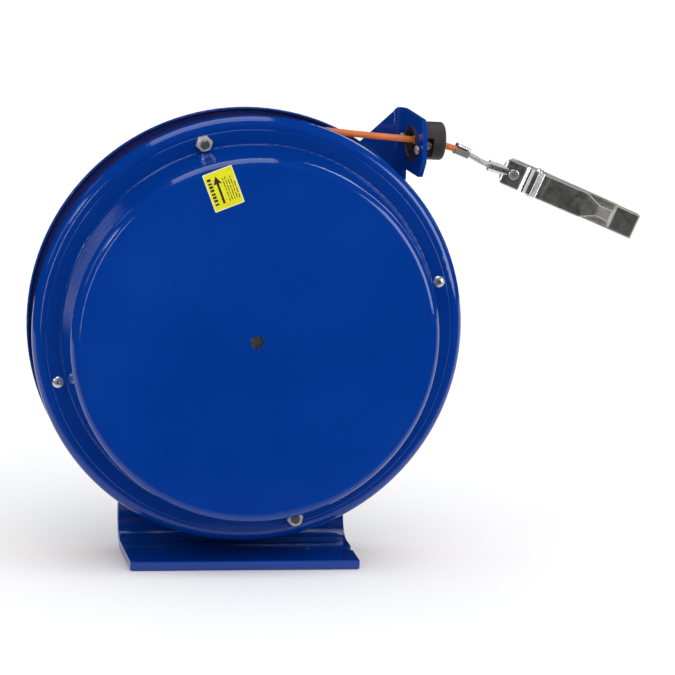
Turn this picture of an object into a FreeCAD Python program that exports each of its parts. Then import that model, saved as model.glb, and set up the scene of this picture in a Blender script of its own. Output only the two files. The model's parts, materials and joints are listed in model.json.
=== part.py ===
import FreeCAD, Part
import math
import os
import Sketcher

# Spring-rewind grounding cable reel on a bent steel stand.
# Frame: +X to the cable outlet side, +Y to the back (post side), +Z up.
# Origin: underside of the foot, on the line through the mounting hole and the mounting slot,
# straight below the reel axis.  Units are millimetres.

V = FreeCAD.Vector
doc = FreeCAD.newDocument("cable_reel")
dims = doc.addObject("Spreadsheet::Sheet", "dims")


class Q:
    """A number that remembers the sheet formula it came from."""

    def __init__(self, v, s):
        self.v, self.s = float(v), s

    def _b(self, o, op, r=False):
        o = q(o)
        a, b = (o, self) if r else (self, o)
        v = {"+": a.v + b.v, "-": a.v - b.v, "*": a.v * b.v, "/": a.v / b.v if b.v else 0.0}[op]
        return Q(v, "(" + a.s + " " + op + " " + b.s + ")")

    def __add__(self, o): return self._b(o, "+")
    def __radd__(self, o): return self._b(o, "+", True)
    def __sub__(self, o): return self._b(o, "-")
    def __rsub__(self, o): return self._b(o, "-", True)
    def __mul__(self, o): return self._b(o, "*")
    def __rmul__(self, o): return self._b(o, "*", True)
    def __truediv__(self, o): return self._b(o, "/")
    def __rtruediv__(self, o): return self._b(o, "/", True)
    def __neg__(self): return q(0) - self


def q(x):
    return x if isinstance(x, Q) else Q(x, "(%.9g)" % x if x < 0 else "%.9g" % x)


def sqrt(x):
    return Q(math.sqrt(x.v), "sqrt(" + x.s + ")")


ROWS = [
    ("axis_height", 163.3, "reel axis above the floor"),
    ("plate_thick", 6.35, "stand plate"),
    ("foot_width", 158.6, "stand width"),
    ("foot_front", -34.2, "front edge of the foot"),
    ("post_face", 42.0, "front face of the post"),
    ("bend_inner", 18.0, "inside radius of the stand bend"),
    ("post_top", 214.0, "top of the post"),
    ("post_top_half", 46.0, "half width at the top of the post"),
    ("post_taper_from", 95.0, "height where the post starts to taper"),
    ("mount_hole_rad", 5.6, "mounting hole and slot half width"),
    ("mount_hole_at", 56.0, "mounting hole from the middle"),
    ("slot_end_at", 52.0, "centre of the slot's round end"),
    ("axle_rad", 8.0, "axle radius"),
    ("collar_rad", 12.5, "axle collar radius"),
    ("disc_rad", 147.8, "outside radius of both discs"),
    ("disc_thick", 1.5, "disc sheet"),
    ("rim_rad", 7.0, "outside radius of the turned rim"),
    ("rim_lip", 1.5, "straight lip after the turned rim"),
    ("front_disc_face", -18.5, "outer face of the front disc"),
    ("rear_disc_face", 31.0, "outer face of the rear disc"),
    ("drum_rad", 120.7, "winding drum outside radius"),
    ("drum_thick", 1.5, "drum sheet"),
    ("can_face", -57.0, "front face of the spring can"),
    ("can_thick", 1.5, "can sheet"),
    ("can_flange_rad", 139.2, "outer radius of the can flange"),
    ("can_foot_rad", 128.9, "can wall radius at the flange, sharp"),
    ("can_slope", 0.105, "wall draft, radius per depth"),
    ("can_corner", 7.5, "outside corner radius of the can face"),
    ("can_foot_fillet", 1.2, "inside corner at the flange"),
    ("can_hole_rad", 4.7, "hole in the middle of the can face"),
    ("bolt_circle_rad", 134.4, "flange fasteners"),
    ("bolt_circle_turn", 15.04, "turn of the fastener cross, degrees"),
    ("stud_rad", 3.0, "flange stud"),
    ("nut_flats", 10.0, "lock nut across flats"),
    ("nut_height", 6.4, "lock nut height"),
    ("hub_bore", 11.0, "hub bore for the bushes"),
    ("hub_rad", 15.0, "hub tube radius"),
    ("hub_flange_rad", 27.0, "hub end flange radius"),
    ("ring_rad", 40.0, "ratchet ring outside radius"),
    ("ring_inner", 29.0, "ratchet ring bore"),
    ("ring_thick", 3.6, "ratchet ring"),
    ("cable_dia", 4.6, "coated cable"),
    ("pack_inner", 121.0, "inside of the winding"),
    ("pack_outer", 136.4, "outside of the winding"),
    ("arm_thick", 3.2, "guide arm plate"),
    ("stop_rad", 13.1, "cable stop radius"),
    ("stop_len", 16.4, "cable stop length"),
    ("strand_rad", 2.1, "bare strand radius"),
    ("clip_len", 114.0, "clip length"),
    ("clip_half_width", 9.05, "half width of the fixed half"),
    ("clip_sheet", 1.2, "clip sheet"),
    ("clip_pin_at", 36.2, "pivot pin from the cable end"),
]
S = {}
for i, (alias, value, note) in enumerate(ROWS, start=1):
    dims.set("A%d" % i, note)
    dims.set("B%d" % i, "%.9g" % value)
    dims.setAlias("B%d" % i, alias)
    S[alias] = Q(value, "dims." + alias)
doc.recompute()


class D:
    """Sheet values by name."""


for alias, value in S.items():
    setattr(D, alias, value)

NODES = []          # (object, node name)


def node(obj, name):
    obj.Label = name
    NODES.append((obj, name))
    return obj


def bind(obj, prop, val):
    """Set a property and tie it to the sheet."""
    if isinstance(val, Q):
        obj.setExpression(prop, val.s)
    return obj


def place(obj, x=0, y=0, z=0, rot=None):
    x, y, z = q(x), q(y), q(z)
    obj.Placement = FreeCAD.Placement(V(x.v, y.v, z.v), rot or FreeCAD.Rotation())
    for n, c in (("x", x), ("y", y), ("z", z)):
        if "dims" in c.s:
            obj.setExpression("Placement.Base." + n, c.s)
    return obj


ALONG_Y = FreeCAD.Rotation(V(1, 0, 0), -90)     # +Z of a primitive turned to +Y
TO_FRONT = FreeCAD.Rotation(V(1, 0, 0), 90)     # +Z turned to -Y


def body(name, z=None):
    b = doc.addObject("PartDesign::Body", name)
    if z is not None:
        place(b, 0, 0, z)
    return b


def sketch(b, plane, name, offset=None):
    sk = b.newObject("Sketcher::SketchObject", name)
    o = [f for f in b.Origin.OriginFeatures if f.Role == plane][0]
    sk.AttachmentSupport = [(o, "")]
    sk.MapMode = "FlatFace"
    if offset is not None:
        offset = q(offset)
        sk.AttachmentOffset = FreeCAD.Placement(V(0, 0, offset.v), FreeCAD.Rotation())
        if "dims" in offset.s:
            sk.setExpression("AttachmentOffset.Base.z", offset.s)
    return sk


def pin_point(sk, g, p, x, y):
    """Fix one sketch point to sheet values."""
    x, y = q(x), q(y)
    for kind, c, axis in (("DistanceX", x, -2), ("DistanceY", y, -1)):
        if abs(c.v) < 1e-9:
            sk.addConstraint(Sketcher.Constraint("PointOnObject", g, p, axis))
        else:
            i = sk.addConstraint(Sketcher.Constraint(kind, -1, 1, g, p, c.v))
            if "dims" in c.s:
                sk.setExpression("Constraints[%d]" % i, c.s)


def loop(sk, pts, arcs=None):
    """Closed outline.  pts are (x, y); arcs maps an edge number to (radius, bulge) where
    bulge is +1 if the arc's centre lies on the left of the run from its start to its end."""
    arcs = arcs or {}
    n = len(pts)
    pts = [(q(a), q(b)) for a, b in pts]
    ids = []
    ends = []
    for i in range(n):
        a, b = pts[i], pts[(i + 1) % n]
        A, B = V(a[0].v, a[1].v, 0), V(b[0].v, b[1].v, 0)
        if i in arcs:
            r, side = arcs[i]
            r = q(r)
            d = B - A
            m = (A + B) * 0.5
            hgt = math.sqrt(max(r.v ** 2 - (d.Length / 2) ** 2, 0.0))
            nrm = V(-d.y, d.x, 0).normalize()
            c = m + nrm * (hgt * side)
            sa, ea = math.atan2(A.y - c.y, A.x - c.x), math.atan2(B.y - c.y, B.x - c.x)
            # centre on the left: the run is counter-clockwise
            if side > 0:
                g = sk.addGeometry(Part.ArcOfCircle(Part.Circle(c, V(0, 0, 1), r.v), sa, ea if ea > sa else ea + 2 * math.pi), False)
                ends.append((1, 2))
            else:
                g = sk.addGeometry(Part.ArcOfCircle(Part.Circle(c, V(0, 0, 1), r.v), ea, sa if sa > ea else sa + 2 * math.pi), False)
                ends.append((2, 1))
        else:
            g = sk.addGeometry(Part.LineSegment(A, B), False)
            ends.append((1, 2))
        ids.append(g)
    for i in range(n):
        j = (i + 1) % n
        sk.addConstraint(Sketcher.Constraint("Coincident", ids[i], ends[i][1], ids[j], ends[j][0]))
    for i in range(n):
        pin_point(sk, ids[i], ends[i][0], *pts[i])
    for i, (r, side) in arcs.items():
        r = q(r)
        a, b = pts[i], pts[(i + 1) % n]
        if abs(math.hypot(a[0].v - b[0].v, a[1].v - b[1].v) - 2 * r.v) < 1e-6:
            # a half circle: its centre is held on the line between its ends
            if abs(a[0].v - b[0].v) < 1e-9:
                kind, c = "DistanceX", a[0]
            else:
                kind, c = "DistanceY", a[1]
            k = sk.addConstraint(Sketcher.Constraint(kind, -1, 1, ids[i], 3, c.v))
            r = c
        else:
            k = sk.addConstraint(Sketcher.Constraint("Radius", ids[i], r.v))
        if "dims" in r.s:
            sk.setExpression("Constraints[%d]" % k, r.s)
    return ids


def ring(sk, x, y, r):
    x, y, r = q(x), q(y), q(r)
    g = sk.addGeometry(Part.Circle(V(x.v, y.v, 0), V(0, 0, 1), r.v), False)
    pin_point(sk, g, 3, x, y)
    k = sk.addConstraint(Sketcher.Constraint("Radius", g, r.v))
    if "dims" in r.s:
        sk.setExpression("Constraints[%d]" % k, r.s)
    return g


def pad(b, sk, length, mid=False, rev=False, name="pad"):
    p = b.newObject("PartDesign::Pad", name)
    p.Profile = sk
    length = q(length)
    p.Length = length.v
    if "dims" in length.s:
        p.setExpression("Length", length.s)
    p.Midplane = mid
    p.Reversed = rev
    sk.Visibility = False
    doc.recompute()
    return p


def pocket(b, sk, length=None, mid=True, rev=False, name="pocket"):
    """Cut both ways through everything unless a depth is given; the removed volume is checked."""
    before = b.Shape.Volume
    p = b.newObject("PartDesign::Pocket", name)
    p.Profile = sk
    if length is None:
        p.Type = 1
    else:
        p.Length = q(length).v
    p.Midplane = mid
    p.Reversed = rev
    doc.recompute()
    if not b.Shape.Volume < before - 1e-3:
        raise RuntimeError("pocket %s of %s removed nothing, sketch solve %s %s" % (name, b.Name, sk.solve(), p.State))
    return p


def revolve(b, sk, axis="H_Axis", name="turned"):
    r = b.newObject("PartDesign::Revolution", name)
    r.Profile = sk
    r.ReferenceAxis = (sk, [axis])
    r.Angle = 360.0
    doc.recompute()
    return r


def edges_where(shape, test):
    out = []
    for i, e in enumerate(shape.Edges, start=1):
        if test(e):
            out.append("Edge%d" % i)
    return out


def fillet(b, base, names, r, name="fillet", kind="PartDesign::Fillet"):
    if not names:
        raise RuntimeError("no edges for %s in %s" % (name, b.Name))
    f = b.newObject(kind, name)
    f.Base = (base, names)
    r = q(r)
    if kind.endswith("Chamfer"):
        f.Size = r.v
        if "dims" in r.s:
            f.setExpression("Size", r.s)
    else:
        f.Radius = r.v
        if "dims" in r.s:
            f.setExpression("Radius", r.s)
    doc.recompute()
    return f


def polar(b, feature, sk, count, axis="N_Axis", name="around"):
    p = b.newObject("PartDesign::PolarPattern", name)
    p.Originals = [feature]
    p.Axis = (sk, [axis])
    p.Angle = 360.0
    p.Occurrences = count
    b.Tip = p
    doc.recompute()
    return p


def cyl(name, r, length, x=0, y=0, z=0, rot=ALONG_Y):
    c = doc.addObject("Part::Cylinder", name)
    r, length = q(r), q(length)
    c.Radius, c.Height = r.v, length.v
    if "dims" in r.s:
        c.setExpression("Radius", r.s)
    if "dims" in length.s:
        c.setExpression("Height", length.s)
    return place(c, x, y, z, rot)


def prism(name, flats, length, x=0, y=0, z=0, rot=ALONG_Y, turn=0.0):
    c = doc.addObject("Part::Prism", name)
    flats, length = q(flats), q(length)
    circ = flats / 1.7320508
    c.Polygon = 6
    c.Circumradius, c.Height = circ.v, length.v
    if "dims" in circ.s:
        c.setExpression("Circumradius", circ.s)
    if "dims" in length.s:
        c.setExpression("Height", length.s)
    return place(c, x, y, z, rot.multiply(FreeCAD.Rotation(V(0, 0, 1), turn)))


def box(name, lx, ly, lz, x=0, y=0, z=0, rot=None):
    c = doc.addObject("Part::Box", name)
    for p, v in (("Length", lx), ("Width", ly), ("Height", lz)):
        v = q(v)
        setattr(c, p, v.v)
        if "dims" in v.s:
            c.setExpression(p, v.s)
    return place(c, x, y, z, rot)


def cut(name, a, *tools):
    t = tools[0]
    if len(tools) > 1:
        t = doc.addObject("Part::MultiFuse", name + "_tools")
        t.Shapes = list(tools)
    c = doc.addObject("Part::Cut", name)
    c.Base, c.Tool = a, t
    doc.recompute()
    if not 0 < c.Shape.Volume < a.Shape.Volume - 1e-4:
        raise RuntimeError("cut %s removed nothing or everything" % name)
    return c


def fuse(name, *parts):
    f = doc.addObject("Part::MultiFuse", name)
    f.Shapes = list(parts)
    doc.recompute()
    return f


def common(name, a, b):
    f = doc.addObject("Part::Common", name)
    f.Base, f.Tool = a, b
    doc.recompute()
    return f


def group(name, *parts):
    """Identical separate pieces kept as separate solids of one node."""
    f = doc.addObject("Part::Compound", name)
    f.Links = list(parts)
    doc.recompute()
    return f


def raw(name, shape, pos=None, rot=None):
    f = doc.addObject("Part::Feature", name)
    f.Shape = shape
    f.Placement = FreeCAD.Placement(pos or V(0, 0, 0), rot or FreeCAD.Rotation()).multiply(shape.Placement)
    return f


A = D.axis_height


def at_polar(r, deg):
    c, s = math.cos(math.radians(deg)), math.sin(math.radians(deg))
    r = q(r)
    return r * q(round(c, 9)), r * q(round(s, 9))


# ---------------------------------------------------------------- stand bracket
# One heavy plate bent at the back of the foot; the post carries the axle.
b = body("StandBracket")
sk = sketch(b, "YZ_Plane", "stand_profile")
t, ri = D.plate_thick, D.bend_inner
pf, ff = D.post_face, D.foot_front
back = pf + t
loop(sk, [(ff, 0), (back - ri - t, 0), (back, ri + t), (back, D.post_top), (pf, D.post_top), (pf, t + ri), (pf - ri, t), (ff, t)],
     {1: (ri + t, +1), 5: (ri, -1)})
p = pad(b, sk, D.foot_width, mid=True, name="bent_plate")
# the post narrows to its top
sk = sketch(b, "XZ_Plane", "post_sides")
hw = D.foot_width / 2
for s in (1, -1):
    loop(sk, [(hw * s + s, D.post_taper_from), (hw * s + s, D.post_top + 1), (D.post_top_half * s, D.post_top + 1), (D.post_top_half * s, D.post_top),
              (hw * s, D.post_taper_from)][:: 1])
pocket(b, sk, name="post_taper")
# mounting hole on the left, open slot on the right, axle hole, arm bolt holes, pawl pin hole, contact screw hole
sk = sketch(b, "XY_Plane", "foot_holes")
ring(sk, -D.mount_hole_at, 0, D.mount_hole_rad)
r = D.mount_hole_rad
loop(sk, [(D.slot_end_at, -r), (hw + 2, -r), (hw + 2, r), (D.slot_end_at, r)], {3: (r, +1)})
pocket(b, sk, name="foot_cuts")
if b.Shape.Volume > p.Shape.Volume - 1:
    raise RuntimeError("foot cuts missing")
ARM_BOLTS = [at_polar(22.0, 135), at_polar(22.0, -45), at_polar(30.0, 45)]
PAWL_PIN = at_polar(62.0, 215)
LEAF = (q(-36.0), q(30.0))
sk = sketch(b, "XZ_Plane", "post_holes")
ring(sk, 0, A, D.axle_rad + 0.05)
for (x, z) in ARM_BOLTS:
    ring(sk, x, z + A, 3.2)
ring(sk, PAWL_PIN[0], PAWL_PIN[1] + A, 4.0)
ring(sk, LEAF[0], LEAF[1] + A, 2.0)
pocket(b, sk, name="post_cuts")
f = b.Tip
names = edges_where(f.Shape, lambda e: abs(e.Length - t.v) < 0.02 and abs(e.BoundBox.YLength - t.v) < 0.02 and e.BoundBox.ZMin > 200)
f = fillet(b, f, names, 14.0, "post_corners")
names = edges_where(f.Shape, lambda e: abs(e.BoundBox.ZLength - t.v) < 0.02 and e.BoundBox.YMax < ff.v + 0.1)
f = fillet(b, f, names, 1.2, "foot_corners")
names = edges_where(f.Shape, lambda e: e.BoundBox.XLength > 150 and e.BoundBox.YMax < ff.v + 0.1)
fillet(b, f, names, 0.8, "foot_edge")
node(b, "stand_bracket")

# ---------------------------------------------------------------- axle and its fastening
b = body("Axle", A)
sk = sketch(b, "YZ_Plane", "axle_profile")
ar, cr = D.axle_rad, D.collar_rad
y1 = D.post_face
# front end, shaft, collar against the post, threaded end through the post
loop(sk, [(-47.6, 0), (-47.6, ar - 0.8), (-46.8, ar), (-46.5, ar), (-46.5, ar - 0.8), (-45.3, ar - 0.8), (-45.3, ar),
          (33.2, ar), (33.2, cr), (y1, cr), (y1, ar), (y1 + 20.6, ar), (y1 + 21.6, ar - 1.0), (y1 + 21.6, 0)])
revolve(b, sk, name="axle_turned")
names = edges_where(b.Shape, lambda e: abs(e.BoundBox.YMin - 33.2) < 0.01 and abs(e.BoundBox.YMax - 33.2) < 0.01 and e.BoundBox.XLength > 20)
fillet(b, b.Tip, names, 0.6, "collar_edge", "PartDesign::Chamfer")
node(b, "axle")

w = cyl("axle_washer_blank", 15.0, 2.5, 0, y1 + t, A)
h = cyl("axle_washer_hole", ar + 0.2, 4.0, 0, y1 + t - 1, A)
node(cut("AxleWasher", w, h), "axle_washer")

n = prism("axle_nut_blank", 24.0, 8.0, 0, y1 + t + 2.5, A)
c = cyl("axle_nut_round", 13.2, 8.0, 0, y1 + t + 2.5, A)
nn = common("axle_nut_body", n, c)
h = cyl("axle_nut_bore", ar + 0.03, 10.0, 0, y1 + t + 1.5, A)
node(cut("AxleNut", nn, h), "axle_nut")

# ---------------------------------------------------------------- discs
rd, th, rr, lip = D.disc_rad, D.disc_thick, D.rim_rad, D.rim_lip


def disc(name, face, way, hole):
    """A flat sheet disc whose rim is turned towards the cable space; way is +1 or -1."""
    b = body(name, A)
    sk = sketch(b, "YZ_Plane", name + "_profile")
    o, i = face, face + th * way
    e = face + (rr + lip) * way
    side = -1 if way > 0 else 1
    loop(sk, [(o, hole), (o, rd - rr), (o + rr * way, rd), (e, rd), (e, rd - th), (o + rr * way, rd - th), (i, rd - rr), (i, hole)],
         {1: (rr, side), 5: (rr - th, -side)})
    revolve(b, sk)
    names = edges_where(b.Shape, lambda x: abs(x.BoundBox.YMin - e.v) < 0.02 and abs(x.BoundBox.YMax - e.v) < 0.02)
    fillet(b, b.Tip, names, 0.6, name + "_lip")
    return b


fd = disc("FrontDisc", D.front_disc_face, 1, 18.0)
# stud holes and rivet holes in the front disc
sk = sketch(fd, "XZ_Plane", "disc_stud_holes")
TURN = D.bolt_circle_turn.v
for k in range(4):
    x, z = at_polar(D.bolt_circle_rad, TURN + 90 * k)
    ring(sk, x, z, D.stud_rad if k % 2 else 2.4)
pocket(fd, sk, name="disc_holes")
node(fd, "front_disc")

rdsc = disc("RearDisc", D.rear_disc_face, -1, 16.0)
node(rdsc, "rear_disc")

# ---------------------------------------------------------------- drum between the discs
b = body("Drum", A)
sk = sketch(b, "YZ_Plane", "drum_profile")
ya, yb = D.front_disc_face + th, D.rear_disc_face - th
loop(sk, [(ya, D.drum_rad - D.drum_thick), (ya, D.drum_rad), (yb, D.drum_rad), (yb, D.drum_rad - D.drum_thick)])
revolve(b, sk)
# hole through which the cable's inner end enters the drum
x, z = at_polar(D.drum_rad - 6, 259)
eh = cyl("drum_entry", 3.2, 12.0, x, 6.0, A + z, FreeCAD.Rotation(V(0, 0, 1), V(math.cos(math.radians(259)), 0, math.sin(math.radians(259)))))
node(cut("DrumWithEntry", b, eh), "drum")

# ---------------------------------------------------------------- hub with two flanged bushes
b = body("Hub", A)
sk = sketch(b, "YZ_Plane", "hub_profile")
hb, hr, hf = D.hub_bore, D.hub_rad, D.hub_flange_rad
loop(sk, [(ya, hb), (ya, hf), (ya + 4, hf), (ya + 4, hr), (yb - 4, hr), (yb - 4, hf), (yb, hf), (yb, hr), (yb + 3.4, hr), (yb + 3.4, hb)])
revolve(b, sk)
names = edges_where(b.Shape, lambda e: abs(e.BoundBox.XLength - 2 * hr.v) < 0.05 and (abs(e.BoundBox.YMin - ya.v - 4) < 0.02 or abs(e.BoundBox.YMin - yb.v + 4) < 0.02))
fillet(b, b.Tip, names, 2.0, "hub_root")
sk = sketch(b, "XZ_Plane", "hub_rivet_holes")
for k in range(4):
    x, z = at_polar(21.0, 45 + 90 * k)
    ring(sk, x, z, 2.0)
pocket(b, sk, name="hub_rivet_cuts")
node(b, "hub")


def bush(name, y0, length, flange_first):
    b = body(name, A)
    sk = sketch(b, "YZ_Plane", name + "_profile")
    y0 = q(y0)
    if flange_first:
        loop(sk, [(y0 - 2, ar + 0.05), (y0 - 2, 14.0), (y0, 14.0), (y0, hb), (y0 + length, hb), (y0 + length, ar + 0.05)])
    else:
        loop(sk, [(y0, ar + 0.05), (y0, hb), (y0 + length, hb), (y0 + length, ar + 0.05)])
    revolve(b, sk)
    return b


node(bush("FrontBush", ya, 16.0, True), "front_bush")
node(bush("RearBush", yb - 13.0, 16.0, False), "rear_bush")

# rivets that hold each disc to the hub flange
riv = []
for k in range(4):
    x, z = at_polar(21.0, 45 + 90 * k)
    for j, (ys, ye) in enumerate(((D.front_disc_face, ya + 4), (yb - 4, D.rear_disc_face))):
        s1 = cyl("hub_rivet_%d_%d" % (k, j), 2.0, ye - ys, x, ys, A + z)
        h1 = cyl("hub_rivet_head_%d_%d" % (k, j), 3.6, 1.4, x, ys - 1.4, A + z)
        h2 = cyl("hub_rivet_tail_%d_%d" % (k, j), 3.4, 1.3, x, ye, A + z)
        riv.append(fuse("hub_rivet_%d_%d_all" % (k, j), s1, h1, h2))
# matching holes in the two discs
for dsc in (fd, rdsc):
    sk = sketch(dsc, "XZ_Plane", dsc.Name + "_hub_holes")
    for k in range(4):
        x, z = at_polar(21.0, 45 + 90 * k)
        ring(sk, x, z, 2.0)
    pocket(dsc, sk, name="hub_holes")
node(group("HubRivets", *riv), "hub_rivets")

# ---------------------------------------------------------------- spring can (front cover)
b = body("SpringCan", A)
sk = sketch(b, "YZ_Plane", "can_profile")
m = D.can_slope
k1 = sqrt(1 + m * m)
ct = D.can_thick
yf0 = D.front_disc_face - ct           # front face of the flange
yb0 = D.front_disc_face                # back face of the flange
cf = D.can_face
R0 = D.can_foot_rad                    # wall radius where its line meets the flange front plane
rc, rf = D.can_corner, D.can_foot_fillet
# outer wall line: r = R0 + m * (y - yf0), y going forward (negative) makes r smaller
# corner at the face: tangent length for a turn of 90 degrees less the draft
tc = rc * (k1 - m)                     # corner tangent length
tf = rf * (k1 + (-m))                  # foot fillet tangent length
Rc = R0 + m * (cf - yf0)               # wall line at the face plane
ux, ur = q(1) / k1, m / k1             # unit vector along the wall, going back
# inner wall: offset by the sheet thickness
Ri0 = R0 - ct * k1                     # inner wall line at the flange front plane
Ric = Ri0 + m * (cf + ct - yf0)
rci = rc - ct
tci = rci * (k1 - m)
rfo = rf + ct
Rfi = Ri0 + m * (yb0 - yf0)
tfo = rfo * (k1 - m)
fl = D.can_flange_rad
loop(sk, [(cf, D.can_hole_rad), (cf, Rc - tc), (cf + tc * ux, Rc + tc * ur), (yf0 - tf * ux, R0 - tf * ur), (yf0, R0 + tf), (yf0, fl - 0.7), (yf0 + 0.7, fl), (yb0, fl),
          (yb0, Rfi + tfo), (yb0 - tfo * ux, Rfi - tfo * ur), (cf + ct + tci * ux, Ric + tci * ur), (cf + ct, Ric - tci), (cf + ct, D.can_hole_rad)],
     {1: (rc, -1), 3: (rf, +1), 5: (0.7, -1), 8: (rfo, -1), 10: (rci, +1)})
revolve(b, sk)
sk = sketch(b, "XZ_Plane", "can_flange_holes")
for k in range(4):
    x, z = at_polar(D.bolt_circle_rad, TURN + 90 * k)
    ring(sk, x, z, D.stud_rad + 0.2 if k % 2 else 2.4)
pocket(b, sk, name="can_flange_cuts")
node(b, "spring_can")

# ---------------------------------------------------------------- studs, lock nuts, rivets on the flange
studs, nuts, rivets = [], [], []
for k in (1, 3):
    x, z = at_polar(D.bolt_circle_rad, TURN + 90 * k)
    sl = cyl("stud_%d_shank" % k, D.stud_rad, 1.5 + 1.5 + D.nut_height + 1.2, x, D.front_disc_face + th, A + z, TO_FRONT)
    cc = doc.addObject("Part::Cone", "stud_%d_tip" % k)
    cc.Radius1, cc.Radius2, cc.Height = 3.0, 2.3, 0.7
    cc.setExpression("Radius1", "dims.stud_rad")
    place(cc, x, D.front_disc_face - 1.5 - D.nut_height - 1.2, A + z, TO_FRONT)
    studs.append(fuse("stud_%d" % k, sl, cc))
    nb = prism("nut_%d_blank" % k, D.nut_flats, D.nut_height - 2.2, x, yf0 - 0.6, A + z, TO_FRONT, TURN)
    wf = cyl("nut_%d_face" % k, 4.3, 0.8, x, yf0, A + z, TO_FRONT)
    chf = doc.addObject("Part::Cone", "nut_%d_chamfer" % k)
    chf.Radius1, chf.Radius2, chf.Height = 7.6, 5.0, 5.2
    place(chf, x, yf0, A + z, TO_FRONT)
    nb = common("nut_%d_body" % k, nb, chf)
    col = cyl("nut_%d_collar" % k, 4.5, 1.9, x, yf0 - D.nut_height + 1.9, A + z, TO_FRONT)
    nf = fuse("nut_%d_both" % k, nb, col, wf)
    bore = cyl("nut_%d_bore" % k, D.stud_rad + 0.02, D.nut_height + 2, x, yf0 + 1, A + z, TO_FRONT)
    nuts.append(cut("nut_%d" % k, nf, bore))
for k in (0, 2):
    x, z = at_polar(D.bolt_circle_rad, TURN + 90 * k)
    sh = cyl("rivet_%d_shank" % k, 2.4, 4.4, x, D.front_disc_face + th + 1.4, A + z, TO_FRONT)
    dome = doc.addObject("Part::Sphere", "rivet_%d_dome" % k)
    dome.Radius = 5.1
    place(dome, x, yf0 + 3.2, A + z)
    keep = cyl("rivet_%d_keep" % k, 3.9, 3.0, x, yf0, A + z, TO_FRONT)
    hd = common("rivet_%d_head" % k, dome, keep)
    tail = cyl("rivet_%d_tail" % k, 3.5, 1.6, x, D.front_disc_face + th + 1.6, A + z, TO_FRONT)
    rv = fuse("rivet_%d_all" % k, sh, hd, tail)
    hole = cyl("rivet_%d_hole" % k, 1.35, 4.0, x, yf0 + 1.0, A + z, TO_FRONT)
    rivets.append(cut("rivet_%d" % k, rv, hole))
node(group("CanStuds", *studs), "can_studs")
node(group("CanLockNuts", *nuts), "can_lock_nuts")
node(group("CanRivets", *rivets), "can_rivets")

# ---------------------------------------------------------------- main spring: a flat strip wound in the can
# built from half circles about two centres; most coils lie against the can wall, as when the cable is in
strip, width = 1.2, 29.0


def spiral_face(radii, sheet, x0):
    """Half-circle spiral strip; radii are the middle radii of successive half turns."""
    outer, inner = [], []
    cx = 0.0
    side = 1
    x_here = x0
    for i, r in enumerate(radii):
        cxi = x_here - side * r
        for lst, rr_ in ((outer, r + sheet / 2), (inner, r - sheet / 2)):
            a = V(cxi + side * rr_, 0, 0)
            m_ = V(cxi, 0, side * rr_)
            b_ = V(cxi - side * rr_, 0, 0)
            lst.append(Part.Arc(a, m_, b_).toShape())
        x_here = cxi - side * r
        side = -side
    cap1 = Part.makeLine(outer[0].Vertexes[0].Point, inner[0].Vertexes[0].Point)
    cap2 = Part.makeLine(outer[-1].Vertexes[-1].Point, inner[-1].Vertexes[-1].Point)
    edges = outer + inner + [cap1, cap2]
    return Part.Face(Part.Wire(Part.__sortEdges__(edges)))


radii = []
r = 116.0
for i in range(14):
    radii.append(r)
    r -= 1.1
while r > 30:
    radii.append(r)
    r -= 8.5
radii += [27.0, 21.2, 19.4]
face = spiral_face(radii, strip, 116.0)
spring = face.extrude(V(0, width, 0))
node(raw("MainSpring", spring, V(0, -52.4, A.v), FreeCAD.Rotation(V(0, 1, 0), -20)), "main_spring")

# outer end of the spring hooks on a post fixed in the can
x, z = at_polar(119.2, 21.5)
node(cyl("SpringAnchorPost", 2.6, -18.5 - cf - ct - 2.2, x, cf + ct + 2.2, A + z), "spring_anchor_post")

# arbor on the axle that holds the inner end
ab = cyl("arbor_blank", 16.0, 25.9, 0, -45.2, A)
ah = cyl("arbor_bore", ar, 29.0, 0, -46.5, A)
asl = box("arbor_slot", 3.0, 23.4, 9.0, -1.5, -46.0, A + 9.0)
node(cut("SpringArbor", ab, ah, asl), "spring_arbor")
rg = cyl("clip_ring_blank", 11.0, 1.1, 0, -46.45, A)
rh = cyl("clip_ring_hole", ar - 0.75, 3.0, 0, -47.5, A)
rs = box("clip_ring_gap", 6.0, 4.0, 14.0, -3.0, -48.0, A)
node(cut("ArborRing", rg, rh, rs), "arbor_retaining_ring")

# ---------------------------------------------------------------- winding of cable on the drum
b = body("WoundCable", A)
sk = sketch(b, "YZ_Plane", "winding_profile")
loop(sk, [(-14.6, D.pack_inner), (-14.6, D.pack_outer), (29.2, D.pack_outer), (29.2, D.pack_inner)])
revolve(b, sk)
names = edges_where(b.Shape, lambda e: e.BoundBox.XLength > 2 * D.pack_outer.v - 0.1)
fillet(b, b.Tip, names, 2.2, "winding_edge")
node(b, "wound_cable")

# clamp that holds the inner end of the cable inside the drum
x, z = at_polar(D.drum_rad - D.drum_thick - 4.2, 250)
blk = box("anchor_block", 16.0, 12.0, 8.0, -8.0, -6.0, -4.0)
blk_f = doc.addObject("Part::Chamfer", "anchor_block_edges")
blk_f.Base = blk
doc.recompute()
blk_f.Edges = [(i + 1, 1.0, 1.0) for i in range(len(blk.Shape.Edges))]
hole = cyl("anchor_cable_hole", 2.35, 30.0, -15.0, 0, 1.0, FreeCAD.Rotation(V(0, 1, 0), 90))
anc = cut("CableAnchor", blk_f, hole)
anc.Placement = FreeCAD.Placement(V(x.v, 6.0, (A + z).v), FreeCAD.Rotation(V(0, 1, 0), -340 - 0))
anc.setExpression("Placement.Base.z", (A + z).s)
node(anc, "cable_anchor")

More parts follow.
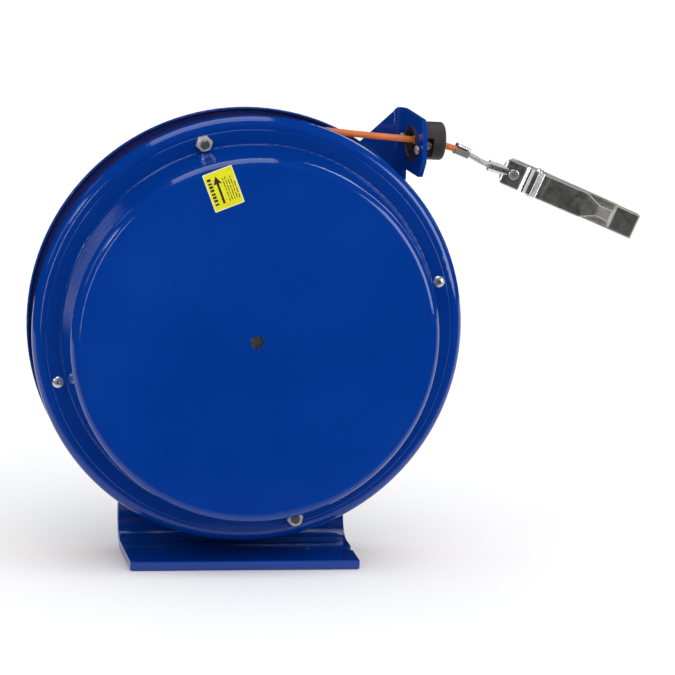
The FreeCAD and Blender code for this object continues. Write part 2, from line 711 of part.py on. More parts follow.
# ---------------------------------------------------------------- ratchet ring and its rivets
b = body("RatchetRing", A)
sk = sketch(b, "XZ_Plane", "ring_outline", -(D.rear_disc_face))
ring(sk, 0, 0, D.ring_rad)
ring(sk, 0, 0, D.ring_inner)
pd = pad(b, sk, D.ring_thick, rev=True, name="ring_plate")
skn = sketch(b, "XZ_Plane", "ring_notch", -(D.rear_disc_face))
pts = [at_polar(q(41.5), 178.5), at_polar(q(34.6), 186.0), at_polar(q(34.6), 193.5), at_polar(q(41.5), 196.0)]
loop(skn, pts)
pk = pocket(b, skn, name="notch")
polar(b, pk, skn, 12)
sk = sketch(b, "XZ_Plane", "ring_rivet_holes", -(D.rear_disc_face))
for k in range(6):
    x, z = at_polar(32.0, 20 + 60 * k)
    ring(sk, x, z, 1.6)
pocket(b, sk, name="ring_rivet_cuts")
if b.Shape.BoundBox.YMin < D.rear_disc_face.v - 0.05 or b.Shape.BoundBox.YMax > D.rear_disc_face.v + 3.7:
    raise RuntimeError("ratchet ring is on the wrong side %s" % b.Shape.BoundBox)
node(b, "ratchet_ring")
riv = []
sk = sketch(rdsc, "XZ_Plane", "ring_holes_in_disc")
for k in range(6):
    x, z = at_polar(32.0, 20 + 60 * k)
    ring(sk, x, z, 1.6)
    s1 = cyl("ring_rivet_%d_shank" % k, 1.6, D.disc_thick + D.ring_thick, x, D.rear_disc_face - D.disc_thick, A + z)
    h1 = cyl("ring_rivet_%d_tail" % k, 2.8, 1.0, x, D.rear_disc_face - D.disc_thick - 1.0, A + z)
    riv.append(fuse("ring_rivet_%d" % k, s1, h1))
pocket(rdsc, sk, name="ring_holes")
node(group("RatchetRivets", *riv), "ratchet_rivets")

# ---------------------------------------------------------------- pawl, its pin and spring on the post
px, pz = PAWL_PIN
b = body("Pawl", A)
sk = sketch(b, "XZ_Plane", "pawl_outline", q(-31.6))
tip = [at_polar(q(35.6), 187.2), at_polar(q(35.6), 192.4), at_polar(q(41.2), 194.2), (px + 7.6, pz + 1.0), (px + 4.0, pz - 7.0), (px - 5.0, pz - 6.2), (px - 7.8, pz + 1.5), at_polar(q(44.4), 187.0)]
# the engaged outline, turned back about the pin by the lift angle
LIFT = math.radians(12.0)
cL, sL = math.cos(LIFT), math.sin(LIFT)
tip = [(px + (x - px) * cL - (z - pz) * sL, pz + (x - px) * sL + (z - pz) * cL) for x, z in tip]
loop(sk, tip)
pad(b, sk, 3.0, rev=True, name="pawl_plate")
skb = sketch(b, "XZ_Plane", "pawl_boss", q(-31.6))
ring(skb, px, pz, 7.0)
pad(b, skb, 5.2, rev=True, name="pawl_hub")
skh = sketch(b, "XZ_Plane", "pawl_bore", q(-31.6))
ring(skh, px, pz, 4.05)
pocket(b, skh, name="pawl_hole")
if b.Shape.BoundBox.YMin < 31.5:
    raise RuntimeError("pawl is on the wrong side %s" % b.Shape.BoundBox)
node(b, "pawl")
s1 = cyl("pawl_pin_shank", 4.0, 48.35 - 31.8, px, 31.8, A + pz)
s2 = cyl("pawl_pin_head", 6.0, 2.6, px, D.post_face + t, A + pz)
node(fuse("PawlPin", s1, s2), "pawl_pin")

helix = Part.makeHelix(1.2, 3.5, 5.0)
prof = Part.Wire([Part.makeCircle(0.45, V(5.0, 0, 0), V(0, 1, 0))])
coil = Part.Wire(helix).makePipeShell([prof], True, True)
node(raw("PawlSpring", coil, V(px.v, 37.6, (A + pz).v), ALONG_Y), "pawl_spring")

# ---------------------------------------------------------------- grounding contact leaf and its screw
lx, lz = LEAF
b = body("ContactLeaf", A + lz)
sk = sketch(b, "XY_Plane", "leaf_profile", -5.0)
# strip lying on the post, then bending forward to the ratchet ring's face
loop(sk, [(lx - 7, 42.0), (lx - 7, 41.4), (lx + 3.6, 41.4), (lx + 9.0, 34.95), (lx + 14.5, 34.95), (lx + 14.5, 35.55), (lx + 9.3, 35.55), (lx + 3.9, 42.0)])
pad(b, sk, 10.0, name="leaf_strip")
skh = sketch(b, "XZ_Plane", "leaf_hole", -41.0)
ring(skh, lx, 0, 2.05)
pocket(b, skh, 6.0, mid=True, name="leaf_hole_cut")
node(b, "contact_leaf")
s1 = cyl("contact_screw_shank", 1.95, 41.4 - 0 - 41.4 + 9.0, lx, 41.4, A + lz)
s2 = cyl("contact_screw_head", 3.6, 2.0, lx, 39.4, A + lz)
s3 = box("contact_screw_slot", 8.0, 1.6, 1.0, lx - 4.0, 38.8, A + lz - 0.5)
cs = fuse("contact_screw_all", s1, s2)
node(cut("ContactScrew", cs, s3), "contact_screw")

# ---------------------------------------------------------------- guide arm: plate on the post, bent forward into a flange
ta = D.arm_thick
b = body("GuideArm")
sk = sketch(b, "XY_Plane", "arm_bend", 128.0)
yp = D.post_face
lean = math.radians(13.0)
cl, sl_ = math.cos(lean), math.sin(lean)
# the flange's left face runs through FX, FY and leans to the right going forward
FX, FY = 118.8, -1.0                    # front end of the left face
rbi = 8.0                               # inside radius on the left face
yfp = yp.v - ta.v                       # front face of the arm plate
# inside corner of plate front face and flange left face
cx = FX - (yfp - FY) * math.tan(lean)
# tangent length for a turn of 77 degrees
tb = rbi * math.tan(math.radians(38.5))
fx0, fy0 = cx + sl_ * tb, yfp - cl * tb
rbo = rbi + ta.v
# outer faces
ocx = cx + (ta.v / cl) + (-(ta.v)) * (-math.tan(lean)) * 0
nx, ny = cl, sl_                        # flange right-hand normal
fr = (FX + nx * ta.v, FY + ny * ta.v)
# right face line meets the plate's back face y = yp
sx = fr[0] - (yp.v - fr[1]) * math.tan(lean)
tbo = rbo * math.tan(math.radians(38.5))
loop(sk, [(-45.0, yp - ta), (cx - tb, yp - ta), (fx0, fy0), (FX, FY), fr, (sx + sl_ * tbo, yp.v - cl * tbo), (sx - tbo, yp), (-45.0, yp)],
     {1: (rbi, -1), 5: (rbo, +1)})
pad(b, sk, 190.0, name="arm_strip")
# outline of the arm seen from the front: round end about the axle, straight left edge, square flange zone
sk = sketch(b, "XZ_Plane", "arm_outline")
Rb = 33.0
nrm = math.radians(137.5)               # left edge's outward normal
ex, ez = Rb * math.cos(nrm), Rb * math.sin(nrm)
nr2 = math.radians(-41.0)
gx, gz = 27.0 * math.cos(nr2), 27.0 * math.sin(nr2)
Z0 = A.v
outl = [(ex, Z0 + ez), (104.8, 305.6), (107.4, 308.8), (109.6, 309.3), (140.0, 309.3), (140.0, 259.5), (109.4, 259.5), (gx + 2.0, Z0 + gz)]
# cut everything outside the outline: a big frame with the outline as its hole
loop(sk, [(-80.0, 100.0), (180.0, 100.0), (180.0, 340.0), (-80.0, 340.0)])
loop(sk, outl, {7: (31.0, -1)})
pocket(b, sk, name="arm_trim")
# flange corners seen from the side
sk = sketch(b, "YZ_Plane", "flange_corners")
loop(sk, [(-12.0, 295.4), (FY + 0.2, 295.4), (3.4, 306.2), (38.0, 309.6), (38.0, 330.0), (-12.0, 330.0)])
loop(sk, [(-12.0, 278.2), (-12.0, 240.0), (33.5, 240.0), (33.5, 268.6), (5.6, 266.2), (FY + 0.2, 278.2)])
before = b.Shape.Volume
pk = b.newObject("PartDesign::Pocket", "flange_trim")
pk.Profile = sk
pk.Type = 0
pk.Length = 80.0
pk.Midplane = False
pk.Reversed = True
sk.AttachmentOffset = FreeCAD.Placement(V(0, 0, 90.0), FreeCAD.Rotation())
doc.recompute()
if not b.Shape.Volume < before - 50:
    raise RuntimeError("flange trim removed nothing")
# round hole for the guide bushing and two tapped holes, square to the flange
HY, HZ = 19.0, 287.2
HX = FX - (HY - FY) * math.tan(lean)
sk = sketch(b, "YZ_Plane", "flange_hole")
# the sketch plane is turned about the vertical so that it lies in the flange: sketch x back, sketch y up
sk.AttachmentOffset = FreeCAD.Placement(V(HY, HZ, HX), FreeCAD.Rotation(V(0, 1, 0), 13.0))
HOLE = 11.4
ring(sk, 0, 0, HOLE)
SCREWS = [(13.6, 2.3), (-13.6, -2.3)]
for (u, v_) in SCREWS:
    ring(sk, u, v_, 1.55)
pocket(b, sk, 12.0, mid=True, name="flange_holes")
# bolt holes and axle hole in the plate
sk = sketch(b, "XZ_Plane", "arm_holes")
for (x, z) in ARM_BOLTS:
    ring(sk, x, z + A, 3.2)
ring(sk, 0, A, D.collar_rad + 0.4)
pocket(b, sk, name="arm_hole_cuts")
node(b, "guide_arm")

bolts, bnuts = [], []
for k, (x, z) in enumerate(ARM_BOLTS):
    hd = doc.addObject("Part::Sphere", "arm_bolt_%d_dome" % k)
    hd.Radius = 8.2
    place(hd, x, yp - ta + 4.9, A + z)
    kp = cyl("arm_bolt_%d_keep" % k, 6.4, 3.4, x, yp - ta, A + z, TO_FRONT)
    hh = common("arm_bolt_%d_head" % k, hd, kp)
    sh = cyl("arm_bolt_%d_shank" % k, 3.1, ta + t + 7.6, x, yp - ta, A + z)
    bolts.append(fuse("arm_bolt_%d" % k, hh, sh))
    nb = prism("arm_nut_%d_blank" % k, 10.0, 5.0, x, yp + t, A + z, ALONG_Y, 17.0 * k)
    bo = cyl("arm_nut_%d_bore" % k, 3.12, 8.0, x, yp + t - 1.5, A + z)
    bnuts.append(cut("arm_nut_%d" % k, nb, bo))
node(group("ArmBolts", *bolts), "arm_bolts")
node(group("ArmNuts", *bnuts), "arm_nuts")


# ---------------------------------------------------------------- guide bushing and its screws, square to the flange
# local axes: x towards the back along the flange, y up, z to the right, out of the flange; the left face is at z = 0
flange_rot = FreeCAD.Rotation(FreeCAD.Matrix(-sl_, 0, cl, 0, cl, 0, sl_, 0, 0, 1, 0, 0, 0, 0, 0, 1))
fpos = V(HX, HY, HZ)
LIP, BORE, LT = 12.2, 8.7, 1.0
bush_s = Part.makeCylinder(LIP, LT, V(0, 0, -LT))
bush_s = bush_s.makeFillet(0.5, [e for e in bush_s.Edges if e.BoundBox.ZMax < -LT + 0.01 and e.BoundBox.ZLength < 0.01])
bush_s = bush_s.fuse(Part.makeCylinder(HOLE - 0.1, ta.v))
# bell mouth: wide on the spool side, closing in to a round eye about the cable on the outlet side
EYE, EU, EV = 3.4, 0.3, 2.6


def rim(r, u, v_, z):
    return Part.Wire([Part.makeCircle(r, V(u, v_, z))])


bush_s = bush_s.cut(Part.makeLoft([rim(BORE, 0, 0, -LT), rim(EYE, EU, EV, ta.v - 0.8)], True, True))
bush_s = bush_s.cut(Part.makeCylinder(EYE, 3.0, V(EU, EV, ta.v - 0.9))).cut(Part.makeCone(BORE + 1.0, BORE - 0.2, 1.2, V(0, 0, -LT)))
node(raw("GuideBushing", bush_s.removeSplitter(), fpos, flange_rot), "guide_bushing")
scr = []
for k, (u, v_) in enumerate(SCREWS):
    hd = Part.makeSphere(4.4, V(u, v_, -LT - 2.1 + 4.4)).common(Part.makeCylinder(3.2, 2.1, V(u, v_, -LT - 2.1)))
    slot_ = Part.makeBox(4.2, 0.9, 0.9, V(u - 2.1, v_ - 0.45, -LT - 2.2))
    slot2 = Part.makeBox(0.9, 4.2, 0.9, V(u - 0.45, v_ - 2.1, -LT - 2.2))
    sh = Part.makeCylinder(1.5, ta.v + LT, V(u, v_, -LT))
    scr.append(hd.cut(slot_).cut(slot2).fuse(sh).removeSplitter())
node(raw("BushingScrews", Part.makeCompound(scr), fpos, flange_rot), "bushing_screws")

# ---------------------------------------------------------------- free cable: straight runs joined by tangent arcs
ROUTE = [(17.0, 10.0, 301.46), (40.0, 10.6, 298.66), (63.5, 12.7, 295.7), (87.5, 16.0, 292.9), (113.5, 19.5, 290.25), (141.2, 22.5, 285.4), (152.6, 23.6, 280.4)]


def route_wire(points):
    """Runs joined by arcs whose tangent length is 0.45 of the shorter run."""
    P = [V(*p_) for p_ in points]
    edges, start, length = [], P[0], 0.0
    for i in range(1, len(P) - 1):
        a, c_ = P[i] - P[i - 1], P[i + 1] - P[i]
        t_ = 0.45 * min(a.Length, c_.Length)
        turn = a.getAngle(c_)
        r_ = t_ / math.tan(turn / 2)
        p1, p2 = P[i] - V(a).normalize() * t_, P[i] + V(c_).normalize() * t_
        mid_dir = (V(c_).normalize() - V(a).normalize()).normalize()
        cen = P[i] + mid_dir * (r_ / math.cos(turn / 2))
        pm = cen - mid_dir * r_
        edges.append(Part.LineSegment(start, p1).toShape())
        edges.append(Part.Arc(p1, pm, p2).toShape())
        length += (p1 - start).Length + r_ * turn
        print("cable bend %d: radius %.1f mm, turn %.1f deg" % (i, r_, math.degrees(turn)))
        start = p2
    edges.append(Part.LineSegment(start, P[-1]).toShape())
    length += (P[-1] - start).Length
    return Part.Wire(edges), length


wire, clen = route_wire(ROUTE)
cr_ = D.cable_dia.v / 2
tang = (V(*ROUTE[1]) - V(*ROUTE[0])).normalize()
prof = Part.Wire([Part.makeCircle(cr_, V(*ROUTE[0]), tang)])
tube = wire.makePipeShell([prof], True, False)
vol = math.pi * cr_ ** 2 * clen
print("free cable length %.2f mm, volume %.1f against %.1f" % (clen, tube.Volume, vol))
if abs(tube.Volume - vol) > 0.01 * vol:
    raise RuntimeError("cable tube volume is wrong")
node(raw("CableFree", tube), "cable_free")

# ---------------------------------------------------------------- cable stop clamped on the cable against the flange
S0, S1 = V(119.9, 19.9, 289.5), V(136.2, 20.9, 288.7)
sdir = V(S1 - S0).normalize()
sl = D.stop_len.v
sr = D.stop_rad.v
# local z along the stop, local x to the front, local y down
sx_ = (V(0, -1, 0) - sdir * V(0, -1, 0).dot(sdir)).normalize()
sy_ = sdir.cross(sx_).normalize()
srot = FreeCAD.Rotation(FreeCAD.Matrix(sx_.x, sy_.x, sdir.x, 0, sx_.y, sy_.y, sdir.y, 0, sx_.z, sy_.z, sdir.z, 0, 0, 0, 0, 1))
stop_at = FreeCAD.Placement(S0, srot)
st = Part.makeCylinder(sr, sl)
st = st.makeFillet(2.2, [e for e in st.Edges if e.BoundBox.ZLength < 0.01 and e.BoundBox.ZMin > sl - 1])
st = st.makeFillet(0.6, [e for e in st.Edges if e.BoundBox.ZLength < 0.01 and e.BoundBox.ZMax < 0.1])
# bore on the cable's own line, a little below the middle
p4, p5 = stop_at.inverse().multVec(V(*ROUTE[4])), stop_at.inverse().multVec(V(*ROUTE[5]))
bd = V(p5 - p4).normalize()
bstart = p4 + bd * ((-3.0 - p4.z) / bd.z)
st = st.cut(Part.makeCylinder(2.4, sl + 7, bstart, bd))
# clamp recess at the flange end, on the front
st = st.cut(Part.makeBox(8.0, 13.6, 8.3, V(7.2, -3.4, -1.0)))
# saw cut at the back that lets the clamp close
st = st.cut(Part.makeBox(sr + 2, 0.8, sl + 4, V(-sr - 2, -0.9, -2)))
SB, SY = 4.3, 2.3
st = st.cut(Part.makeCylinder(1.5, 4.0, V(4.2, SY, SB), V(1, 0, 0)))
node(raw("CableStop", st, S0, srot), "cable_stop")
sc = Part.makeCylinder(2.7, 2.2, V(7.2, SY, SB), V(1, 0, 0))
sc = sc.makeFillet(0.5, [e for e in sc.Edges if e.BoundBox.XMin > 9.3 and e.Length > 5])
sc = sc.cut(Part.makeBox(1.0, 0.9, 6.0, V(8.6, SY - 0.45, SB - 3.0)))
sc = sc.fuse(Part.makeCylinder(1.45, 2.6, V(4.6, SY, SB), V(1, 0, 0)))
node(raw("StopScrew", sc.removeSplitter(), S0, srot), "stop_screw")

# ---------------------------------------------------------------- ferrule and bare strand
q5, q6 = V(*ROUTE[5]), V(*ROUTE[6])
fdir = V(q6 - q5).normalize()
F0, F1 = q5 + fdir * 5.2, q5 + fdir * 15.4
e3 = V(0, -1, 0)
e2 = e3.cross(fdir).normalize()
e3 = fdir.cross(e2).normalize()
frot = FreeCAD.Rotation(FreeCAD.Matrix(fdir.x, e2.x, e3.x, 0, fdir.y, e2.y, e3.y, 0, fdir.z, e2.z, e3.z, 0, 0, 0, 0, 1))
fl_len = (F1 - F0).Length
# a folded sleeve, closed round the cable, with its seam above the middle on the front
fr_ = Part.makeBox(fl_len, 7.6, 7.0, V(0, -3.5, -3.5))
fr_ = fr_.makeFillet(1.6, [e for e in fr_.Edges if e.BoundBox.XLength > fl_len - 0.1])
fr_ = fr_.cut(Part.makeBox(fl_len + 2, 1.1, 5.0, V(-1, 1.5, 0.4)))
fr_ = fr_.cut(Part.makeCylinder(2.35, fl_len + 4, V(-2, 0, 0), V(1, 0, 0)))
node(raw("CrimpFerrule", fr_, F0, frot), "crimp_ferrule")

B0 = V(171.5, 27.0, 271.9)              # cable end of the clip
ca = math.radians(22.9)
c1 = V(math.cos(ca), 0, -math.sin(ca))
c2 = V(math.sin(ca), 0, math.cos(ca))
c3 = V(0, -1, 0)
crot = FreeCAD.Rotation(FreeCAD.Matrix(c1.x, c2.x, c3.x, 0, c1.y, c2.y, c3.y, 0, c1.z, c2.z, c3.z, 0, 0, 0, 0, 1))
ZB = 6.2                                # barrel axis above the jaw plane
cpos = B0 - c3 * ZB
BT = math.radians(5.5)                  # the barrel stands a little across the clip
bax = c1 * math.cos(BT) + c2 * math.sin(BT)
BS = B0 - c1 * 0.6 - c2 * 1.05          # middle of the barrel's open end
g0 = q6 + fdir * 0.4
g1 = F1 + fdir * 2.6
gm = BS - bax * 4.0
g2 = BS + bax * 9.6
srt = [tuple(g0), tuple(g1), tuple(gm), tuple(g2)]
swire, slen = route_wire(srt)
sprof = Part.Wire([Part.makeCircle(D.strand_rad.v, g0, V(g1 - g0).normalize())])
strand = swire.makePipeShell([sprof], True, False)
node(raw("BareStrand", strand), "bare_strand")
print("strand points", [tuple(round(c_, 3) for c_ in p_) for p_ in srt])

# ---------------------------------------------------------------- clip: two pressed halves on a pin, spring between
# local axes: x from the cable to the jaw, y across, z towards the front; the jaws meet at z = 0
tw, hwc, PX = D.clip_sheet.v, D.clip_half_width.v, D.clip_pin_at.v
CL = D.clip_len.v
TOP = [(8.8, 8.1), (11.5, 9.3), (16.0, 9.7), (24.2, 9.8), (26.0, 10.5), (27.4, 10.9), (28.8, 10.2), (30.4, 8.9), (32.2, 8.4), (34.2, 8.6), (36.4, 10.2), (38.4, 11.1), (40.0, 11.2), (42.0, 10.7),
       (45.0, 10.1), (54.0, 9.45), (72.4, 8.1), (80.0, 6.1), (84.4, 5.2), (90.0, 4.95), (94.4, 5.0), (96.2, 5.5), (98.5, 5.7)]


def ribbon(pts_, th_, y0_, y1_, sign=1, smooth=True):
    """A sheet that follows pts_ (x, z), with its outer face on them."""
    n_ = len(pts_)
    out, ins = [], []
    for i in range(n_):
        a_, b_ = pts_[max(0, i - 1)], pts_[min(n_ - 1, i + 1)]
        tx, tz = b_[0] - a_[0], b_[1] - a_[1]
        L_ = math.hypot(tx, tz)
        out.append(V(pts_[i][0], 0, sign * pts_[i][1]))
        ins.append(V(pts_[i][0] + th_ * tz / L_, 0, sign * (pts_[i][1] - th_ * tx / L_)))
    e_ = []
    for lst in (out, ins):
        if smooth:
            c_ = Part.BSplineCurve()
            c_.interpolate(lst)
            e_.append(c_.toShape())
        else:
            e_ += [Part.makeLine(m_, n_) for m_, n_ in zip(lst, lst[1:])]
    e_.append(Part.makeLine(out[0], ins[0]))
    e_.append(Part.makeLine(out[-1], ins[-1]))
    f_ = Part.Face(Part.Wire(Part.__sortEdges__(e_)))
    f_.translate(V(0, y0_, 0))
    return f_.extrude(V(0, y1_ - y0_, 0))


def outline_prism(pts_, z0, z1):
    """Symmetric top outline from (x, half width)."""
    P = [V(a, h_, z0) for a, h_ in pts_] + [V(a, -h_, z0) for a, h_ in reversed(pts_)]
    return Part.Face(Part.makePolygon(P + [P[0]])).extrude(V(0, 0, z1 - z0))


def side_wall(pts_, y0_, th_):
    w_ = Part.Face(Part.makePolygon([V(a, y0_, c_) for a, c_ in pts_] + [V(pts_[0][0], y0_, pts_[0][1])]))
    return w_.extrude(V(0, th_, 0))


# fixed half with the cable barrel
plate = ribbon(TOP, tw, -12, 12)
outl_f = outline_prism([(8.8, 4.6), (11.4, hwc), (72.4, hwc), (84.2, 4.0), (94.4, 4.2), (96.4, 8.9), (99, 8.9)], -20, 20)
plate = plate.common(outl_f)
BL = 14.0
bvec = V(math.cos(BT), math.sin(BT), 0)
bs_ = V(-0.6, -1.05, ZB)
barrel = Part.makeCylinder(4.0, BL, bs_, bvec)
barrel_bore = Part.makeCylinder(2.3, 18.0, bs_ - bvec * 2, bvec)
seam = Part.makeBox(10.4, 0.8, 6.0, V(0, -0.4, 0))
seam.rotate(V(0, 0, 0), V(0, 0, 1), 5.5)
seam.translate(V(-1.2, -1.1, ZB))
side_pts = [(11.4, 8.7), (24.2, 9.2), (27.4, 9.8), (30.6, 8.2), (34.4, 8.0), (38.4, 10.2), (45.0, 9.4), (70.6, 7.6), (72.4, 7.2), (70.0, 3.8), (46.0, 3.2), (42.0, -1.0), (40.6, -4.0), (31.8, -4.0), (30.4, -1.0), (28.0, 2.4), (13.6, 3.2)]
w1, w2 = side_wall(side_pts, hwc - tw, tw), side_wall(side_pts, -hwc, tw)
TX = 96.6
tipb = Part.makeBox(CL - TX, 17.8, 5.4, V(TX, -8.9, 0.25))
tipb = tipb.makeFillet(1.0, [e for e in tipb.Edges if e.BoundBox.XMin > CL - 0.1 and e.BoundBox.ZLength > 4] + [e for e in tipb.Edges if e.BoundBox.XMin > CL - 0.1 and e.BoundBox.ZMin > 5])
teeth = None
for i in range(5):
    x_ = 98.6 + i * 2.9
    tri = Part.Face(Part.makePolygon([V(x_, -12, -0.2), V(x_ + 2.0, -12, -0.2), V(x_ + 1.0, -12, 1.5), V(x_, -12, -0.2)])).extrude(V(0, 24, 0))
    teeth = tri if teeth is None else teeth.fuse(tri)
tipb = tipb.cut(teeth)
half = plate.fuse(barrel).fuse(w1).fuse(w2).fuse(tipb)
half = half.cut(barrel_bore).cut(seam)
half = half.cut(Part.makeCylinder(2.06, 40, V(PX, -20, 0), V(0, 1, 0)))
SCX, SCY = 17.5, 0.0
half = half.cut(Part.makeCylinder(2.0, 6.0, V(SCX, SCY, 6.0)))
half = half.removeSplitter()
node(raw("ClipBody", half, cpos, crot), "clip_body")

# moving half: plate and rails behind, two inner ears on the pin
TOPJ = [(15.6, 8.4), (18.0, 9.4), (24.0, 9.8), (44.0, 9.8), (73.0, 7.8), (97.0, 5.7), (99.0, 5.7)]
ow = hwc + 0.2
pj = ribbon(TOPJ, tw, -12, 12, -1, False)
pj = pj.common(outline_prism([(15.6, 6.4), (18.6, ow), (98.0, ow), (99.0, 8.9)], -20, 20))
rail = [(16.4, -8.1), (16.8, -5.6), (20.0, -4.2), (27.6, -2.6), (28.6, -6.2), (43.4, -6.2), (44.6, -1.5), (73.0, -1.4), (98.0, -0.9), (98.0, -5.1), (73.0, -7.2), (44.0, -9.2), (24.0, -9.2)]
j1, j2 = side_wall(rail, ow - tw, tw), side_wall(rail, -ow, tw)
ear = [(31.6, -9.2), (32.0, 1.6), (33.6, 3.4), (38.8, 3.4), (40.4, 1.6), (40.8, -9.2)]
ey = hwc - tw - 0.35
j3, j4 = side_wall(ear, ey - tw, tw), side_wall(ear, -ey, tw)
tipj = Part.makeBox(CL - TX, 17.8, 5.4, V(TX, -8.9, -5.65))
tipj = tipj.makeFillet(1.0, [e for e in tipj.Edges if e.BoundBox.XMin > CL - 0.1 and e.BoundBox.ZLength > 4] + [e for e in tipj.Edges if e.BoundBox.XMin > CL - 0.1 and e.BoundBox.ZMax < -5])
tj = teeth.copy()
tj = tj.mirror(V(0, 0, 0), V(0, 0, 1))
tipj = tipj.cut(tj)
jaw = pj.fuse(j1).fuse(j2).fuse(j3).fuse(j4).fuse(tipj)
jaw = jaw.cut(Part.makeCylinder(2.06, 40, V(PX, -20, 0), V(0, 1, 0))).removeSplitter()
node(raw("ClipJaw", jaw, cpos, crot), "clip_jaw")

pin = Part.makeCylinder(2.0, 2 * hwc + 1.2, V(PX, -hwc - 0.6, 0), V(0, 1, 0))
for s_ in (1, -1):
    yb_ = s_ * (hwc + 0.05)
    hd = Part.makeSphere(3.2, V(PX, yb_ - s_ * 1.3, 0)).common(Part.makeBox(8, 2.0, 8, V(PX - 4, yb_ if s_ > 0 else yb_ - 2.0, -4)))
    pin = pin.fuse(hd)
node(raw("ClipPin", pin.removeSplitter(), cpos, crot), "clip_pin")
helix = Part.makeHelix(2.2, 11.0, 4.2)
prof = Part.Wire([Part.makeCircle(0.75, V(4.2, 0, 0), V(0, 1, 0))])
coil = Part.Wire(helix).makePipeShell([prof], True, True)
coil.rotate(V(0, 0, 0), V(1, 0, 0), -90)
coil.translate(V(PX, -5.5, 0))
node(raw("ClipSpring", coil, cpos, crot), "clip_spring")
cs = Part.makeCylinder(3.7, 1.5, V(SCX, SCY, 9.75))
cs = cs.makeFillet(0.6, [e for e in cs.Edges if e.BoundBox.ZMin > 11.0])
cs = cs.fuse(Part.makeCylinder(1.95, 3.4, V(SCX, SCY, 6.5)))
sq = Part.makeBox(2.9, 2.9, 1.6, V(-1.45, -1.45, 9.9))
sq.rotate(V(0, 0, 0), V(0, 0, 1), 45)
sq.translate(V(SCX, SCY, 0))
node(raw("ClipScrew", cs.cut(sq).removeSplitter(), cpos, crot), "clip_screw")

# ---------------------------------------------------------------- label on the can face
lab = box("label_blank", 21.0, 0.25, 26.9, -10.5, 0, -13.45)
lab_p = doc.addObject("Part::Fillet", "LabelPlate")
lab_p.Base = lab
doc.recompute()
lab_p.Edges = [(i + 1, 0.8, 0.8) for i, e in enumerate(lab.Shape.Edges) if abs(e.BoundBox.YLength - 0.25) < 0.01]
doc.recompute()
lab_p.Placement = FreeCAD.Placement(V(-26.0, cf.v - 0.25, 268.3), FreeCAD.Rotation(V(0, 1, 0), -21.5))
node(lab_p, "label")

# ---------------------------------------------------------------- check and write
doc.recompute()
bad = []
for o in doc.Objects:
    if "Invalid" in o.State or "Error" in o.State:
        bad.append("%s %s" % (o.Name, o.State))
for o, name in NODES:
    s = o.Shape
    if s.isNull() or not s.isValid() or not s.Solids:
        bad.append("%s shape null or not valid" % name)
if bad:
    raise RuntimeError("; ".join(bad))
os.makedirs("parts", exist_ok=True)
for fn in os.listdir("parts"):
    if fn.endswith(".step"):
        os.remove(os.path.join("parts", fn))
names = [n_ for o, n_ in NODES]
if len(set(names)) != len(names) or len(names) > 60:
    raise RuntimeError("node names")
total = 0.0
for o, name in NODES:
    o.Shape.exportStep(os.path.join("parts", name + ".step"))
    bb = o.Shape.BoundBox
    total += o.Shape.Volume
    print("%-22s solids %2d vol %9.0f  x %7.1f %7.1f  y %7.1f %7.1f  z %7.1f %7.1f" % (name, len(o.Shape.Solids), o.Shape.Volume, bb.XMin, bb.XMax, bb.YMin, bb.YMax, bb.ZMin, bb.ZMax))
print("nodes", len(NODES), "volume cm3", round(total / 1000, 1))
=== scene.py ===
import json
import math

import bmesh
import bpy
from mathutils import Matrix, Vector


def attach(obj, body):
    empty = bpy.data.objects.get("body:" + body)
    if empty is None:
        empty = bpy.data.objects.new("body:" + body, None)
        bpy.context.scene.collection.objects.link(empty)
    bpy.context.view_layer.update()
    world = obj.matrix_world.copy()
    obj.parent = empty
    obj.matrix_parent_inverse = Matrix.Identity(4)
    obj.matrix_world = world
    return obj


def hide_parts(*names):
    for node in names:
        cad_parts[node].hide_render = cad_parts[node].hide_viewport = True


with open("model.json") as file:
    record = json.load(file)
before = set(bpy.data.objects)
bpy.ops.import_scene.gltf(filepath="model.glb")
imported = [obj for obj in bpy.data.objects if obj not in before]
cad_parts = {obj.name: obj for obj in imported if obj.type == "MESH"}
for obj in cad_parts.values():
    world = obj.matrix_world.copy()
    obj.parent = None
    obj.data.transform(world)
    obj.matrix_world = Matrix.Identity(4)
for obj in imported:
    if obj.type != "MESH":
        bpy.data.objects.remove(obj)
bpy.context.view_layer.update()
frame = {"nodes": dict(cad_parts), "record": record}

NODES = frame["nodes"]
scene = bpy.context.scene
V = Vector
MM = 0.001

# ------------------------------------------------------------------ camera
AZ, EL, ROLL = math.radians(-9.605), math.radians(11.401), math.radians(1.891)
DIST, FOCAL_PX = 3.4, 5000.0
d = V((math.sin(AZ) * math.cos(EL), -math.cos(AZ) * math.cos(EL), math.sin(EL)))
look = -d
right0 = look.cross(V((0, 0, 1))).normalized()
up0 = right0.cross(look)
right = math.cos(ROLL) * right0 + math.sin(ROLL) * up0
up = -math.sin(ROLL) * right0 + math.cos(ROLL) * up0
aim = V((0, -0.020, 0.1633))
eye = aim + 0.0599 * right - 0.0039 * up - DIST * look
cam_data = bpy.data.cameras.new("camera")
cam_data.sensor_fit = "HORIZONTAL"
cam_data.sensor_width = 36.0
cam_data.lens = FOCAL_PX / 675.0 * 36.0
cam_data.clip_start, cam_data.clip_end = 0.05, 60.0
cam = bpy.data.objects.new("camera", cam_data)
scene.collection.objects.link(cam)
m = Matrix((right, up, -look)).transposed().to_4x4()
m.translation = eye
cam.matrix_world = m
scene.camera = cam


